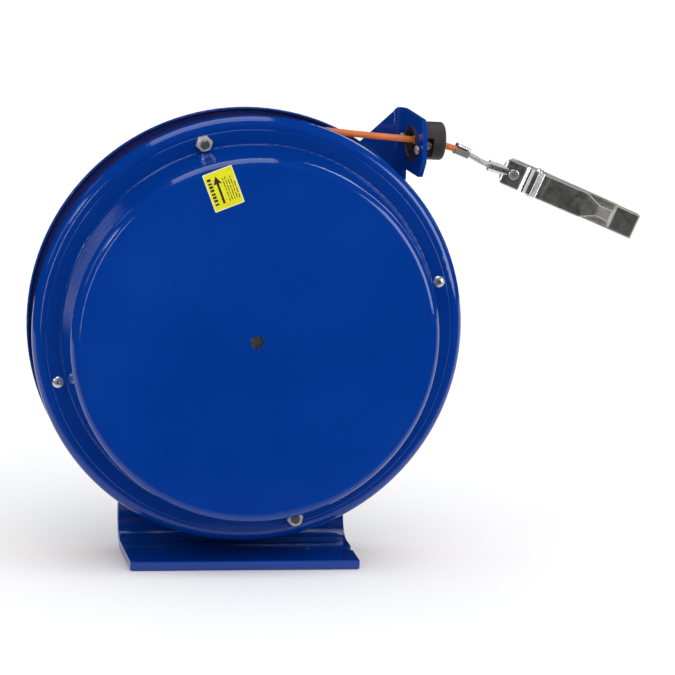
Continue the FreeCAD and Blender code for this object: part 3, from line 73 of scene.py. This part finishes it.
# ------------------------------------------------------------------ curves
def spline_object(name, points, res=6):
    """One open NURBS spline through a route's control points."""
    cu = bpy.data.curves.new(name, "CURVE")
    cu.dimensions = "3D"
    sp = cu.splines.new("NURBS")
    sp.points.add(len(points) - 1)
    for i, p in enumerate(points):
        sp.points[i].co = (p[0], p[1], p[2], 1.0)
    sp.order_u = 3
    sp.use_endpoint_u = True
    cu.resolution_u = res
    o = bpy.data.objects.new(name, cu)
    scene.collection.objects.link(o)
    return o


def read_curve(points, res=10):
    """Points along a route's own NURBS spline."""
    o = spline_object("reader", points, res)
    me = bpy.data.meshes.new_from_object(o)
    pts = [v.co.copy() for v in me.vertices]
    bpy.data.objects.remove(o)
    bpy.data.meshes.remove(me)
    return pts


def tube(points, r, n=8):
    """Vertices and faces of a round tube along close points, with ends capped."""
    vs, fs = [], []
    prev = None
    for i, p in enumerate(points):
        t = (points[min(i + 1, len(points) - 1)] - points[max(i - 1, 0)]).normalized()
        if prev is None:
            a = t.cross(V((0, 0, 1)))
            if a.length < 1e-4:
                a = t.cross(V((1, 0, 0)))
            a.normalize()
        else:
            a = (prev - t * prev.dot(t)).normalized()
        prev = a
        b = t.cross(a)
        for k in range(n):
            w = 2 * math.pi * k / n
            vs.append(p + (a * math.cos(w) + b * math.sin(w)) * r)
    for i in range(len(points) - 1):
        for k in range(n):
            j = (k + 1) % n
            fs.append((i * n + k, i * n + j, (i + 1) * n + j, (i + 1) * n + k))
    fs.append(tuple(range(n)))
    fs.append(tuple(range((len(points) - 1) * n, len(points) * n))[::-1])
    return vs, fs


CABLE = 4.6 * MM
# the free cable, from the top of the winding through the guide and the stop into the ferrule
ROUTE = [(17.0, 10.0, 301.46), (40.0, 10.6, 298.66), (63.5, 12.7, 295.7), (87.5, 16.0, 292.9), (113.5, 19.5, 290.25), (141.2, 22.5, 285.4), (152.6, 23.6, 280.4)]
route = [V(p) * MM for p in ROUTE]

# the winding: four layers of nine turns laid side by side, then one turn that crosses to the outlet
AX = V((0, 0, 163.3))
PER = 16
SHRINK = math.cos(math.pi / PER)        # a quadratic spline runs at this share of its control radius
END_ANGLE = math.degrees(math.atan2(138.16, 17.0))
TURNS = 37


def lane(turn):
    """Radius and y of the turn with this number, 0 innermost."""
    layer, j = divmod(turn, 9)
    if layer > 3:
        return 135.2, -10.0
    r = (123.3, 127.26, 131.23, 135.2)[layer]
    return (r, -12.3 + 4.62 * j) if layer % 2 == 0 else (r, -10.0 + 4.62 * (8 - j))


def smooth(x):
    x = min(1.0, max(0.0, x))
    return x * x * (3 - 2 * x)


wind = []
total = TURNS * PER
for i in range(total + 1):
    back = (total - i) * 360.0 / PER            # degrees before the end
    ang = END_ANGLE + back
    # turns change lane low on the drum, at 300 to 240 degrees, away from the outlet
    swept = TURNS * 360.0 - back + (END_ANGLE - 300.0) % 360.0 - 360.0
    # swept counts from the lane change point
    t_no = math.floor(swept / 360.0)
    part = swept - 360.0 * t_no
    k0, k1 = max(0, t_no), max(0, t_no + 1)
    r0_, y0_ = lane(min(k0, 36))
    if swept < 0:
        r_, y_ = lane(0)
    elif k0 >= 36:
        # the crossing turn
        r_, y_ = 135.2, -10.0
    else:
        rp, yp_ = lane(max(0, k0 - 1)) if k0 > 0 else lane(0)
        f = smooth(part / 50.0)
        r_, y_ = rp + (r0_ - rp) * f, yp_ + (y0_ - yp_) * f
    if back < 215.0:
        f = smooth((215.0 - back) / 200.0)
        y_ = -10.0 + 20.0 * f
        r_ = 135.2 + 4.0 * smooth((215.0 - back) / 45.0)
    rc = r_ / SHRINK
    a = math.radians(ang)
    wind.append((AX + V((rc * math.cos(a), y_, rc * math.sin(a)))) * MM)
# the end point lies on the curve itself, so it takes the true radius
a = math.radians(END_ANGLE)
wind[-1] = (AX + V((139.2 * math.cos(a), 10.0, 139.2 * math.sin(a)))) * MM


# ------------------------------------------------------------------ node helpers
def tree(name):
    mat = bpy.data.materials.new(name)
    mat.use_nodes = True
    nt = mat.node_tree
    nt.nodes.clear()
    out = nt.nodes.new("ShaderNodeOutputMaterial")
    sh = nt.nodes.new("ShaderNodeBsdfPrincipled")
    nt.links.new(sh.outputs[0], out.inputs[0])
    return mat, nt, sh


def noise(nt, scale, detail=3.0, rough=0.55, distort=0.0, vec=None):
    n = nt.nodes.new("ShaderNodeTexNoise")
    n.inputs["Scale"].default_value = scale
    n.inputs["Detail"].default_value = detail
    n.inputs["Roughness"].default_value = rough
    n.inputs["Distortion"].default_value = distort
    if vec is not None:
        nt.links.new(vec, n.inputs["Vector"])
    return n.outputs["Fac"]


def coords(nt, scale=(1, 1, 1), rot=(0, 0, 0), loc=(0, 0, 0)):
    tc = nt.nodes.new("ShaderNodeTexCoord")
    mp = nt.nodes.new("ShaderNodeMapping")
    mp.inputs["Scale"].default_value = scale
    mp.inputs["Rotation"].default_value = rot
    mp.inputs["Location"].default_value = loc
    nt.links.new(tc.outputs["Object"], mp.inputs["Vector"])
    return mp.outputs[0]


def ramp(nt, fac, stops, interp="LINEAR"):
    r = nt.nodes.new("ShaderNodeValToRGB")
    r.color_ramp.interpolation = interp
    els = r.color_ramp.elements
    while len(els) > 1:
        els.remove(els[-1])
    els[0].position, els[0].color = stops[0][0], (*stops[0][1], 1.0)
    for p, c in stops[1:]:
        e = els.new(p)
        e.color = (*c, 1.0)
    nt.links.new(fac, r.inputs[0])
    return r.outputs[0]


def grey(v):
    return (v, v, v)


def mix(nt, fac, a, b, mode="MIX"):
    mx = nt.nodes.new("ShaderNodeMix")
    mx.data_type = "RGBA"
    mx.blend_type = mode
    if isinstance(fac, float):
        mx.inputs["Factor"].default_value = fac
    else:
        nt.links.new(fac, mx.inputs["Factor"])
    for s, v in ((6, a), (7, b)):
        if isinstance(v, tuple):
            mx.inputs[s].default_value = (*v, 1.0)
        else:
            nt.links.new(v, mx.inputs[s])
    return mx.outputs[2]


def math_node(nt, op, a, b=None, c=None, clamp=False):
    n = nt.nodes.new("ShaderNodeMath")
    n.operation = op
    n.use_clamp = clamp
    for i, v in enumerate((a, b, c)):
        if v is None:
            continue
        if isinstance(v, (int, float)):
            n.inputs[i].default_value = v
        else:
            nt.links.new(v, n.inputs[i])
    return n.outputs[0]


def bump(nt, sh, height, strength, dist, normal=None):
    b = nt.nodes.new("ShaderNodeBump")
    b.inputs["Strength"].default_value = strength
    b.inputs["Distance"].default_value = dist
    nt.links.new(height, b.inputs["Height"])
    if normal is not None:
        nt.links.new(normal, b.inputs["Normal"])
    nt.links.new(b.outputs[0], sh.inputs["Normal"])
    return b.outputs[0]


def paint(name, base, dark, light, rough=(0.16, 0.26), spec=0.35, coat=0.35, dust=0.0):
    """Baked gloss enamel on pressed steel: fine orange peel, faint flow, light rub marks."""
    mat, nt, sh = tree(name)
    vec = coords(nt)
    broad = noise(nt, 9.0, 3.0, 0.5, 0.2, vec)
    fine = noise(nt, 90.0, 4.0, 0.6, 0.0, vec)
    col = ramp(nt, broad, [(0.30, dark), (0.52, base), (0.75, light)])
    col = mix(nt, ramp(nt, fine, [(0.35, grey(0.0)), (0.8, grey(0.22))]), col, light)
    specks = noise(nt, 900.0, 2.0, 0.5, 0.0, vec)
    col = mix(nt, ramp(nt, specks, [(0.70, grey(0.0)), (0.78, grey(0.25))]), col, tuple(min(1.0, c * 1.6 + 0.01) for c in light))
    nt.links.new(col, sh.inputs["Base Color"])
    scr = noise(nt, 1.0, 6.0, 0.7, 0.0, coords(nt, (220, 220, 26), (0.3, 0.9, 0.2)))
    r = math_node(nt, "MULTIPLY_ADD", ramp(nt, broad, [(0.3, grey(0.0)), (0.7, grey(1.0))]), rough[1] - rough[0], rough[0])
    r = math_node(nt, "ADD", r, ramp(nt, scr, [(0.60, grey(0.0)), (0.72, grey(0.10))]))
    nt.links.new(r, sh.inputs["Roughness"])
    peel = noise(nt, 520.0, 2.0, 0.5, 0.0, vec)
    wave = noise(nt, 38.0, 2.0, 0.5, 0.0, vec)
    h = math_node(nt, "MULTIPLY_ADD", wave, 3.0, peel)
    bump(nt, sh, h, 0.06, 0.0006)
    sh.inputs["Specular IOR Level"].default_value = spec
    sh.inputs["Coat Weight"].default_value = coat
    sh.inputs["Coat Roughness"].default_value = 0.05
    return mat


def metal(name, base, dark, light, rough=(0.2, 0.42), brushed=(60, 60, 900), bumpy=0.12, metallic=1.0, stain=(0.2, 0.17, 0.13), stain_amount=0.3, mottled=40.0):
    """Plated or bare steel: spangle, handling scuffs and a little dirt."""
    mat, nt, sh = tree(name)
    vec = coords(nt)
    sp = nt.nodes.new("ShaderNodeTexVoronoi")
    sp.inputs["Scale"].default_value = 420.0
    nt.links.new(vec, sp.inputs["Vector"])
    broad = noise(nt, mottled, 4.0, 0.6, 0.4, vec)
    col = ramp(nt, broad, [(0.25, dark), (0.5, base), (0.78, light)])
    spg = nt.nodes.new("ShaderNodeSeparateColor")
    nt.links.new(sp.outputs["Color"], spg.inputs[0])
    col = mix(nt, math_node(nt, "MULTIPLY", spg.outputs[0], 0.18), col, light)
    dirt = noise(nt, mottled * 4.1, 5.0, 0.7, 0.8, vec)
    col = mix(nt, ramp(nt, dirt, [(0.52, grey(0.0)), (0.70, grey(stain_amount))]), col, stain)
    nt.links.new(col, sh.inputs["Base Color"])
    sh.inputs["Metallic"].default_value = metallic
    lines = noise(nt, 1.0, 5.0, 0.7, 0.0, coords(nt, brushed))
    r = math_node(nt, "MULTIPLY_ADD", lines, rough[1] - rough[0], rough[0])
    r = math_node(nt, "ADD", r, ramp(nt, dirt, [(0.5, grey(0.0)), (0.7, grey(0.18))]))
    nt.links.new(r, sh.inputs["Roughness"])
    h = math_node(nt, "MULTIPLY_ADD", dirt, 1.2, lines)
    bump(nt, sh, h, bumpy, 0.0004)
    return mat


def clamp01(nt, value, lo, hi):
    """0 below lo, 1 above hi, straight between."""
    k = 1.0 / (hi - lo)
    return math_node(nt, "MULTIPLY_ADD", value, k, -lo * k, clamp=True)


def stamped(name, base, dark, light, rough, metallic, piece, neck=False):
    """Plated strip pressed to shape: dull on its flats, with painted highlights on its ridges, folds and cut edges."""
    mat, nt, sh = tree(name)
    vec = coords(nt)
    broad = noise(nt, 130.0, 3.0, 0.6, 0.8, vec)
    col = ramp(nt, broad, [(0.34, dark), (0.5, base), (0.66, light)])
    spots = noise(nt, 700.0, 3.0, 0.6, 0.0, vec)
    col = mix(nt, ramp(nt, spots, [(0.66, grey(0.0)), (0.76, grey(0.5))]), col, tuple(c * 0.35 for c in dark))
    inv = NODES[piece].matrix_world.inverted()
    tc = nt.nodes.new("ShaderNodeTexCoord")

    def along(socket, direction, origin=None):
        dot = nt.nodes.new("ShaderNodeVectorMath")
        dot.operation = "DOT_PRODUCT"
        nt.links.new(socket, dot.inputs[0])
        local = inv.to_3x3() @ V(direction)
        dot.inputs[1].default_value = local
        if origin is None:
            return dot.outputs["Value"]
        return math_node(nt, "SUBTRACT", dot.outputs["Value"], float(local.dot(inv @ (V(origin) * MM))))

    # painted highlight: lighter and less metallic where the strip turns away from facing the front, patchy by noise
    flat = math_node(nt, "ABSOLUTE", along(tc.outputs["Normal"], (0.0, -1.0, 0.0)))
    painted_highlight = math_node(nt, "MULTIPLY_ADD", flat, -9.0, 8.85, clamp=True)
    painted_highlight = math_node(nt, "MULTIPLY", painted_highlight, ramp(nt, noise(nt, 260.0, 3.0, 0.6, 0.0, vec), [(0.30, grey(0.55)), (0.55, grey(1.0))]))
    # painted highlights along its own cut edges, and where the front half narrows to its neck
    ca_ = math.radians(22.9)
    u_ = math_node(nt, "MULTIPLY", along(tc.outputs["Object"], (math.cos(ca_), 0.0, -math.sin(ca_)), (171.5, 27.0, 271.9)), 1000.0)
    w_ = math_node(nt, "ABSOLUTE", math_node(nt, "MULTIPLY", along(tc.outputs["Object"], (math.sin(ca_), 0.0, math.cos(ca_)), (171.5, 27.0, 271.9)), 1000.0))
    if neck:
        half = math_node(nt, "MULTIPLY_ADD", clamp01(nt, u_, 72.4, 84.2), -5.0, 9.05)
        half = math_node(nt, "MULTIPLY_ADD", clamp01(nt, u_, 94.6, 96.0), 4.8, half)
        edge_highlight = clamp01(nt, math_node(nt, "SUBTRACT", w_, half), -1.15, -0.45)
        painted_highlight = math_node(nt, "MAXIMUM", painted_highlight, math_node(nt, "MULTIPLY", edge_highlight, 0.85))
        neck_highlight = math_node(nt, "MULTIPLY", clamp01(nt, u_, 81.0, 85.5), clamp01(nt, u_, 96.6, 94.6))
        painted_highlight = math_node(nt, "MAXIMUM", painted_highlight, math_node(nt, "MULTIPLY", neck_highlight, 0.42))
        # painted highlights on the bend near the tip and past 112.3 mm along the strip
        end = math_node(nt, "MULTIPLY", clamp01(nt, u_, 92.4, 94.0), clamp01(nt, u_, 96.8, 95.6))
        painted_highlight = math_node(nt, "MAXIMUM", painted_highlight, math_node(nt, "MULTIPLY", end, 0.9))
        painted_highlight = math_node(nt, "MAXIMUM", painted_highlight, math_node(nt, "MULTIPLY", clamp01(nt, u_, 112.3, 113.2), 0.8))
    col = mix(nt, painted_highlight, col, (0.86, 0.86, 0.83))
    nt.links.new(col, sh.inputs["Base Color"])
    nt.links.new(math_node(nt, "MULTIPLY_ADD", painted_highlight, -0.42, metallic), sh.inputs["Metallic"])
    lines = noise(nt, 1.0, 4.0, 0.6, 0.0, coords(nt, (30, 700, 30), (0.0, 0.4, 0.0)))
    r = math_node(nt, "MULTIPLY_ADD", lines, rough[1] - rough[0], rough[0])
    r = math_node(nt, "ADD", r, ramp(nt, spots, [(0.60, grey(0.0)), (0.76, grey(0.15))]))
    nt.links.new(r, sh.inputs["Roughness"])
    bump(nt, sh, broad, 0.06, 0.0003)
    return mat


def plastic(name, base, dark, light, rough=(0.3, 0.5), scale=60.0, bumpy=0.1, spec=0.5, grain=800.0, coat=0.0):
    mat, nt, sh = tree(name)
    vec = coords(nt)
    broad = noise(nt, scale, 4.0, 0.6, 0.3, vec)
    col = ramp(nt, broad, [(0.28, dark), (0.5, base), (0.78, light)])
    nt.links.new(col, sh.inputs["Base Color"])
    g = noise(nt, grain, 3.0, 0.6, 0.0, vec)
    r = math_node(nt, "MULTIPLY_ADD", g, rough[1] - rough[0], rough[0])
    nt.links.new(r, sh.inputs["Roughness"])
    h = math_node(nt, "MULTIPLY_ADD", broad, 1.5, g)
    bump(nt, sh, h, bumpy, 0.0003)
    sh.inputs["Specular IOR Level"].default_value = spec
    sh.inputs["Coat Weight"].default_value = coat
    return mat


BLUE = paint("blue_enamel", (0.0002, 0.0315, 0.236), (0.0001, 0.0280, 0.216), (0.0006, 0.0365, 0.262), (0.06, 0.11), 0.5, 0.0)
ZINC = metal("zinc_plate", (0.74, 0.74, 0.73), (0.58, 0.58, 0.58), (0.90, 0.90, 0.89), (0.16, 0.32), bumpy=0.05, metallic=0.80, stain_amount=0.18)
BRIGHT = metal("bright_plate", (0.82, 0.83, 0.84), (0.66, 0.67, 0.68), (0.95, 0.95, 0.95), (0.10, 0.24), bumpy=0.05, metallic=0.82, stain_amount=0.12)
STRIP = metal("spring_strip", (0.20, 0.22, 0.28), (0.10, 0.11, 0.15), (0.34, 0.36, 0.44), (0.25, 0.45), (900, 20, 900), 0.1)
BRONZE = metal("bronze_bush", (0.50, 0.30, 0.12), (0.33, 0.19, 0.08), (0.66, 0.44, 0.20), (0.35, 0.55), mottled=120.0)
COPPER = metal("leaf_bronze", (0.70, 0.40, 0.22), (0.50, 0.27, 0.14), (0.85, 0.55, 0.33), (0.2, 0.4))
CLIP = stamped("clip_plate", (0.62, 0.615, 0.60), (0.42, 0.415, 0.40), (0.80, 0.80, 0.78), (0.10, 0.18), 0.91, "clip_body", True)
CLIP_DARK = stamped("clip_rail", (0.56, 0.53, 0.48), (0.42, 0.39, 0.34), (0.70, 0.67, 0.61), (0.18, 0.30), 0.55, "clip_jaw")
WIRE = metal("galvanised_wire", (0.72, 0.72, 0.72), (0.52, 0.53, 0.54), (0.90, 0.90, 0.90), (0.22, 0.42), (300, 300, 300), 0.1, metallic=0.75, stain_amount=0.18, mottled=160.0)
ORANGE = plastic("orange_jacket", (0.62, 0.165, 0.040), (0.50, 0.12, 0.028), (0.72, 0.215, 0.060), (0.26, 0.40), 70.0, 0.10, 0.5, 900.0, 0.2)
RUBBER = plastic("stop_rubber", (0.026, 0.022, 0.024), (0.018, 0.016, 0.017), (0.042, 0.037, 0.039), (0.42, 0.62), 130.0, 0.25, 0.4, 1400.0)
NYLON = plastic("guide_nylon", (0.014, 0.014, 0.016), (0.009, 0.009, 0.010), (0.030, 0.030, 0.032), (0.30, 0.46), 150.0, 0.12, 0.5, 1100.0)
YELLOW = plastic("label_film", (0.64, 0.61, 0.006), (0.59, 0.55, 0.004), (0.70, 0.67, 0.012), (0.30, 0.42), 150.0, 0.05, 0.2, 1500.0)
INK = plastic("label_ink", (0.020, 0.022, 0.030), (0.012, 0.013, 0.018), (0.045, 0.048, 0.06), (0.4, 0.6), 300.0, 0.05, 0.4, 1500.0)
PAPER = plastic("label_border", (0.78, 0.78, 0.72), (0.70, 0.70, 0.64), (0.86, 0.86, 0.82), (0.35, 0.5), 200.0, 0.04, 0.4, 1500.0)

# a lighter copy of the bright plating with less metal, so the nuts show as lit silver: painted light
NUT_LIT = metal("nut_plate_lit", (0.84, 0.84, 0.83), (0.66, 0.66, 0.66), (0.95, 0.95, 0.95), (0.10, 0.24), bumpy=0.04, metallic=0.60, stain_amount=0.12)
STUD = metal("stud_end", (0.16, 0.155, 0.15), (0.09, 0.088, 0.085), (0.26, 0.25, 0.24), (0.25, 0.45), metallic=0.8, stain=(0.05, 0.045, 0.04))
BY_SLOT = {"blue_paint": BLUE, "plated_steel": ZINC, "bright_zinc": BRIGHT, "spring_steel": STRIP, "bronze": BRONZE, "copper_leaf": COPPER, "orange_coating": ORANGE,
           "black_rubber": RUBBER, "black_nylon": NYLON, "bare_wire": WIRE, "clip_steel": CLIP, "yellow_label": YELLOW}
slot_of = {s["node"]: s["material_slot"] for s in frame["record"]["subparts"]}
SPECIAL = {"clip_jaw": CLIP_DARK, "can_lock_nuts": NUT_LIT, "can_studs": STUD}
for name, o in NODES.items():
    mat = SPECIAL.get(name, BY_SLOT[slot_of[name]])
    if not o.data.materials:
        o.data.materials.append(mat)
    for i in range(len(o.material_slots)):
        o.material_slots[i].material = mat

# ------------------------------------------------------------------ mesh helpers
def mesh_object(name, verts, faces, mat, body, smooth_angle=None):
    me = bpy.data.meshes.new(name)
    me.from_pydata([tuple(v) for v in verts], [], faces)
    me.validate()
    me.update()
    bm = bmesh.new()
    bm.from_mesh(me)
    bmesh.ops.recalc_face_normals(bm, faces=bm.faces)
    bm.to_mesh(me)
    bm.free()
    o = bpy.data.objects.new(name, me)
    scene.collection.objects.link(o)
    me.materials.append(mat)
    if smooth_angle is not None:
        me.shade_smooth()
        me.set_sharp_from_angle(angle=math.radians(smooth_angle))
    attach(o, body)
    return o


# ------------------------------------------------------------------ cables
free_line = read_curve(route, 14)
vs, fs = tube(free_line, CABLE / 2, 20)
free = mesh_object("cable_orange_run", vs, fs, ORANGE, "stand", 50)
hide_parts("cable_free")
vs, fs = tube(read_curve(wind, 3), CABLE / 2 - 0.02 * MM, 12)
winding = mesh_object("cable_winding", vs, fs, ORANGE, "spool", 50)
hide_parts("wound_cable")

# ------------------------------------------------------------------ bare strand: six wires laid round a core
STRAND = [V((152.965, 23.635, 280.24)), V((157.62, 24.084, 278.198)), V((166.722, 27.0, 272.362)), V((179.699, 27.0, 268.295))]
line = read_curve([p * MM for p in STRAND], 14)
# even steps along the line
seg = [0.0]
for p, q_ in zip(line, line[1:]):
    seg.append(seg[-1] + (q_ - p).length)
N = 90
core = []
for i in range(N + 1):
    s = seg[-1] * i / N
    k = max(j for j in range(len(seg)) if seg[j] <= s + 1e-12)
    k = min(k, len(line) - 2)
    f = (s - seg[k]) / max(1e-12, seg[k + 1] - seg[k])
    core.append(line[k].lerp(line[k + 1], f))
vs, fs = tube(core, 0.78 * MM, 8)
allv, allf = list(vs), list(fs)
pa = None
for w in range(6):
    pts = []
    pa = None
    for i, p in enumerate(core):
        t = (core[min(i + 1, N)] - core[max(i - 1, 0)]).normalized()
        a = t.cross(V((0, 0, 1))).normalized() if pa is None else (pa - t * pa.dot(t)).normalized()
        pa = a
        b = t.cross(a)
        ang = 2 * math.pi * (w / 6 + i / N * seg[-1] / 0.0155)
        pts.append(p + (a * math.cos(ang) + b * math.sin(ang)) * 1.36 * MM)
    vs, fs = tube(pts, 0.72 * MM, 7)
    base = len(allv)
    allv += vs
    allf += [tuple(base + x for x in f) for f in fs]
strand = mesh_object("strand_wires", allv, allf, WIRE, "stand", 60)
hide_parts("bare_strand")

# ------------------------------------------------------------------ label print: arrow and plain bars, no lettering
LA = math.radians(-21.5)
LC = V((-26.0, -57.25, 268.3))
lu = V((math.cos(-LA * -1), 0, 0))
# label axes in the face: u along its width, w along its height
LU = V((math.cos(math.radians(21.5)), 0, math.sin(math.radians(21.5))))
LW = V((-math.sin(math.radians(21.5)), 0, math.cos(math.radians(21.5))))


def face_piece(name, pts, mat, lift, thick):
    vs = [(LC + LU * a + LW * b + V((0, -lift, 0))) * MM for a, b in pts] + [(LC + LU * a + LW * b + V((0, -lift - thick, 0))) * MM for a, b in pts]
    n = len(pts)
    fs = [tuple(range(n))[::-1], tuple(range(n, 2 * n))] + [(i, (i + 1) % n, n + (i + 1) % n, n + i) for i in range(n)]
    return mesh_object(name, vs, fs, mat, "spool")


def rect(a0, b0, a1, b1):
    return [(a0, b0), (a1, b0), (a1, b1), (a0, b1)]


def bars(name, rects, mat, lift, thick):
    vs, fs = [], []
    for x0, y0, x1, y1 in rects:
        n0 = len(vs)
        pts = rect(x0, y0, x1, y1)
        vs += [(LC + LU * a + LW * b + V((0, -lift, 0))) * MM for a, b in pts] + [(LC + LU * a + LW * b + V((0, -lift - thick, 0))) * MM for a, b in pts]
        fs += [tuple(n0 + k for k in f) for f in ((3, 2, 1, 0), (4, 5, 6, 7), (0, 1, 5, 4), (1, 2, 6, 5), (2, 3, 7, 6), (3, 0, 4, 7))]
    return mesh_object(name, vs, fs, mat, "spool")


# pale cut edge round the film, an arrow along it, a row of blocks as the heading and rows of bars as the words
bars("label_edge", [(-10.3, -13.25, 10.3, -12.9), (-10.3, 12.9, 10.3, 13.25), (-10.3, -12.9, -9.95, 12.9), (9.95, -12.9, 10.3, 12.9)], PAPER, 0.0, 0.03)
arrow = [(-3.3, -9.6), (-1.7, -9.6), (-1.7, 4.6), (0.4, 4.2), (-2.5, 9.8), (-5.4, 4.2), (-3.3, 4.6)]
face_piece("label_arrow", arrow, INK, 0.0, 0.04)
bars("label_heading", [(-8.7, -9.4 + 2.45 * i, -6.1, -9.4 + 2.45 * i + (1.75 if i % 3 else 1.35)) for i in range(8)], INK, 0.0, 0.04)
words = []
for i in range(5):
    x_ = 1.7 + 1.72 * i
    b0 = -9.4 + 0.5 * (i % 2)
    lens = ((3.1, 4.6, 2.2, 5.2, 2.0), (4.2, 2.0, 5.0, 3.4, 2.6), (2.4, 5.4, 3.2, 4.0), (4.8, 3.0, 2.2, 4.4, 2.2), (3.6, 4.4, 5.0))[i]
    for L_ in lens:
        words.append((x_ - 0.28, b0, x_ + 0.28, b0 + L_ - 0.7))
        b0 += L_
bars("label_words", words, INK, 0.0, 0.04)

# ------------------------------------------------------------------ floor and light
fm, nt, sh = tree("pale_floor")
vec = coords(nt)
col = ramp(nt, noise(nt, 3.0, 3.0, 0.5, 0.0, vec), [(0.3, (0.90, 0.90, 0.91)), (0.7, (0.93, 0.93, 0.93))])
nt.links.new(col, sh.inputs["Base Color"])
sh.inputs["Roughness"].default_value = 1.0
sh.inputs["Specular IOR Level"].default_value = 0.0


def stage_plane(name, x0, y0, x1, y1, z, mat):
    me = bpy.data.meshes.new(name)
    me.from_pydata([(x0, y0, z), (x1, y0, z), (x1, y1, z), (x0, y1, z)], [], [(0, 1, 2, 3)])
    o = bpy.data.objects.new(name, me)
    me.materials.append(mat)
    scene.collection.objects.link(o)
    return o


floor = stage_plane("floor", -9, -9, 9, 9, -0.0005, fm)
floor.visible_glossy = False
# the gloss paint mirrors only the pale table close to the object, not the whole studio floor
tm, nt, sh = tree("table_card")
sep = nt.nodes.new("ShaderNodeSeparateXYZ")
nt.links.new(coords(nt), sep.inputs[0])
near = noise(nt, 6.0, 2.0, 0.5, 0.0, coords(nt))
fade = math_node(nt, "MULTIPLY_ADD", near, 0.02, sep.outputs[1])
fade = math_node(nt, "MULTIPLY_ADD", fade, 12.0, 1.65, clamp=True)
nt.links.new(ramp(nt, fade, [(0.0, (0.03, 0.03, 0.03)), (1.0, (0.92, 0.92, 0.93))]), sh.inputs["Base Color"])
sh.inputs["Roughness"].default_value = 1.0
sh.inputs["Specular IOR Level"].default_value = 0.0
table = stage_plane("table", -0.9, -0.34, 2.2, 1.2, -0.0004, tm)
table.visible_camera = False
table.visible_diffuse = False
table.visible_shadow = False
table.visible_transmission = False

world = bpy.data.worlds.new("studio")
scene.world = world
world.use_nodes = True
wt = world.node_tree
wt.nodes.clear()
wo = wt.nodes.new("ShaderNodeOutputWorld")
lp = wt.nodes.new("ShaderNodeLightPath")
bg = wt.nodes.new("ShaderNodeBackground")
bg.inputs[0].default_value = (1, 1, 1, 1)
wt.links.new(bg.outputs[0], wo.inputs[0])
AMBIENT, MIRRORED = 0.78, 0.008


def wmath(op, a, b):
    n = wt.nodes.new("ShaderNodeMath")
    n.operation = op
    for i, v in enumerate((a, b)):
        if isinstance(v, float):
            n.inputs[i].default_value = v
        else:
            wt.links.new(v, n.inputs[i])
    return n.outputs[0]


k1 = wmath("MULTIPLY", lp.outputs["Is Camera Ray"], 1.0 - AMBIENT)
k2 = wmath("MULTIPLY", lp.outputs["Is Glossy Ray"], MIRRORED - AMBIENT)
wt.links.new(wmath("ADD", wmath("ADD", k1, k2), AMBIENT), bg.inputs[1])


def sun(name, direction, strength, angle):
    ld = bpy.data.lights.new(name, "SUN")
    ld.energy = strength
    ld.angle = math.radians(angle)
    o = bpy.data.objects.new(name, ld)
    scene.collection.objects.link(o)
    o.rotation_euler = V(direction).to_track_quat("-Z", "Y").to_euler()
    o.visible_glossy = False
    return o


def softbox(name, loc, target, size, radiance, mirrored_only=True):
    ld = bpy.data.lights.new(name, "AREA")
    ld.shape = "RECTANGLE"
    ld.size, ld.size_y = size
    ld.energy = radiance * math.pi * size[0] * size[1]
    ld.color = (0.90, 0.94, 1.0)
    o = bpy.data.objects.new(name, ld)
    scene.collection.objects.link(o)
    o.location = loc
    o.rotation_euler = (V(target) - V(loc)).to_track_quat("-Z", "Y").to_euler()
    o.visible_camera = False
    if mirrored_only:
        o.visible_diffuse = False
    return o


def around(az, el, dist):
    """A place seen from the reel: az from the front towards the right, el above the horizon."""
    a_, e_ = math.radians(az), math.radians(el)
    return V((math.sin(a_) * math.cos(e_) * dist, -math.cos(a_) * math.cos(e_) * dist, 0.163 + math.sin(e_) * dist))


MID = V((0, 0, 0.163))
sun("fill_sun_right", (-0.50, 0.80, -1.0), 1.25, 80)
sun("fill_sun_left", (0.4, 0.6, -1.0), 0.45, 80)
softbox("box_overhead", (-0.25, 0.0, 2.3), MID, (2.4, 1.6), 2.6)
softbox("box_left", around(-75, 22, 2.2), MID, (0.4, 0.9), 1.8)
softbox("box_left_high", around(-57, 26, 2.3), MID, (0.30, 0.30), 12.0)
softbox("box_right_front", around(56, 14, 2.4), MID, (1.1, 1.5), 5.0)
softbox("box_left_front", around(-24, 4, 2.6), MID, (0.14, 1.3), 9.0)
softbox("box_right_back", around(138, 30, 2.4), MID, (1.1, 1.0), 2.8)
softbox("box_left_back", around(-122, 35, 2.4), MID, (0.35, 0.35), 1.5)

scene.view_settings.view_transform = "Standard"
scene.view_settings.look = "None"
scene.view_settings.exposure = 0.0
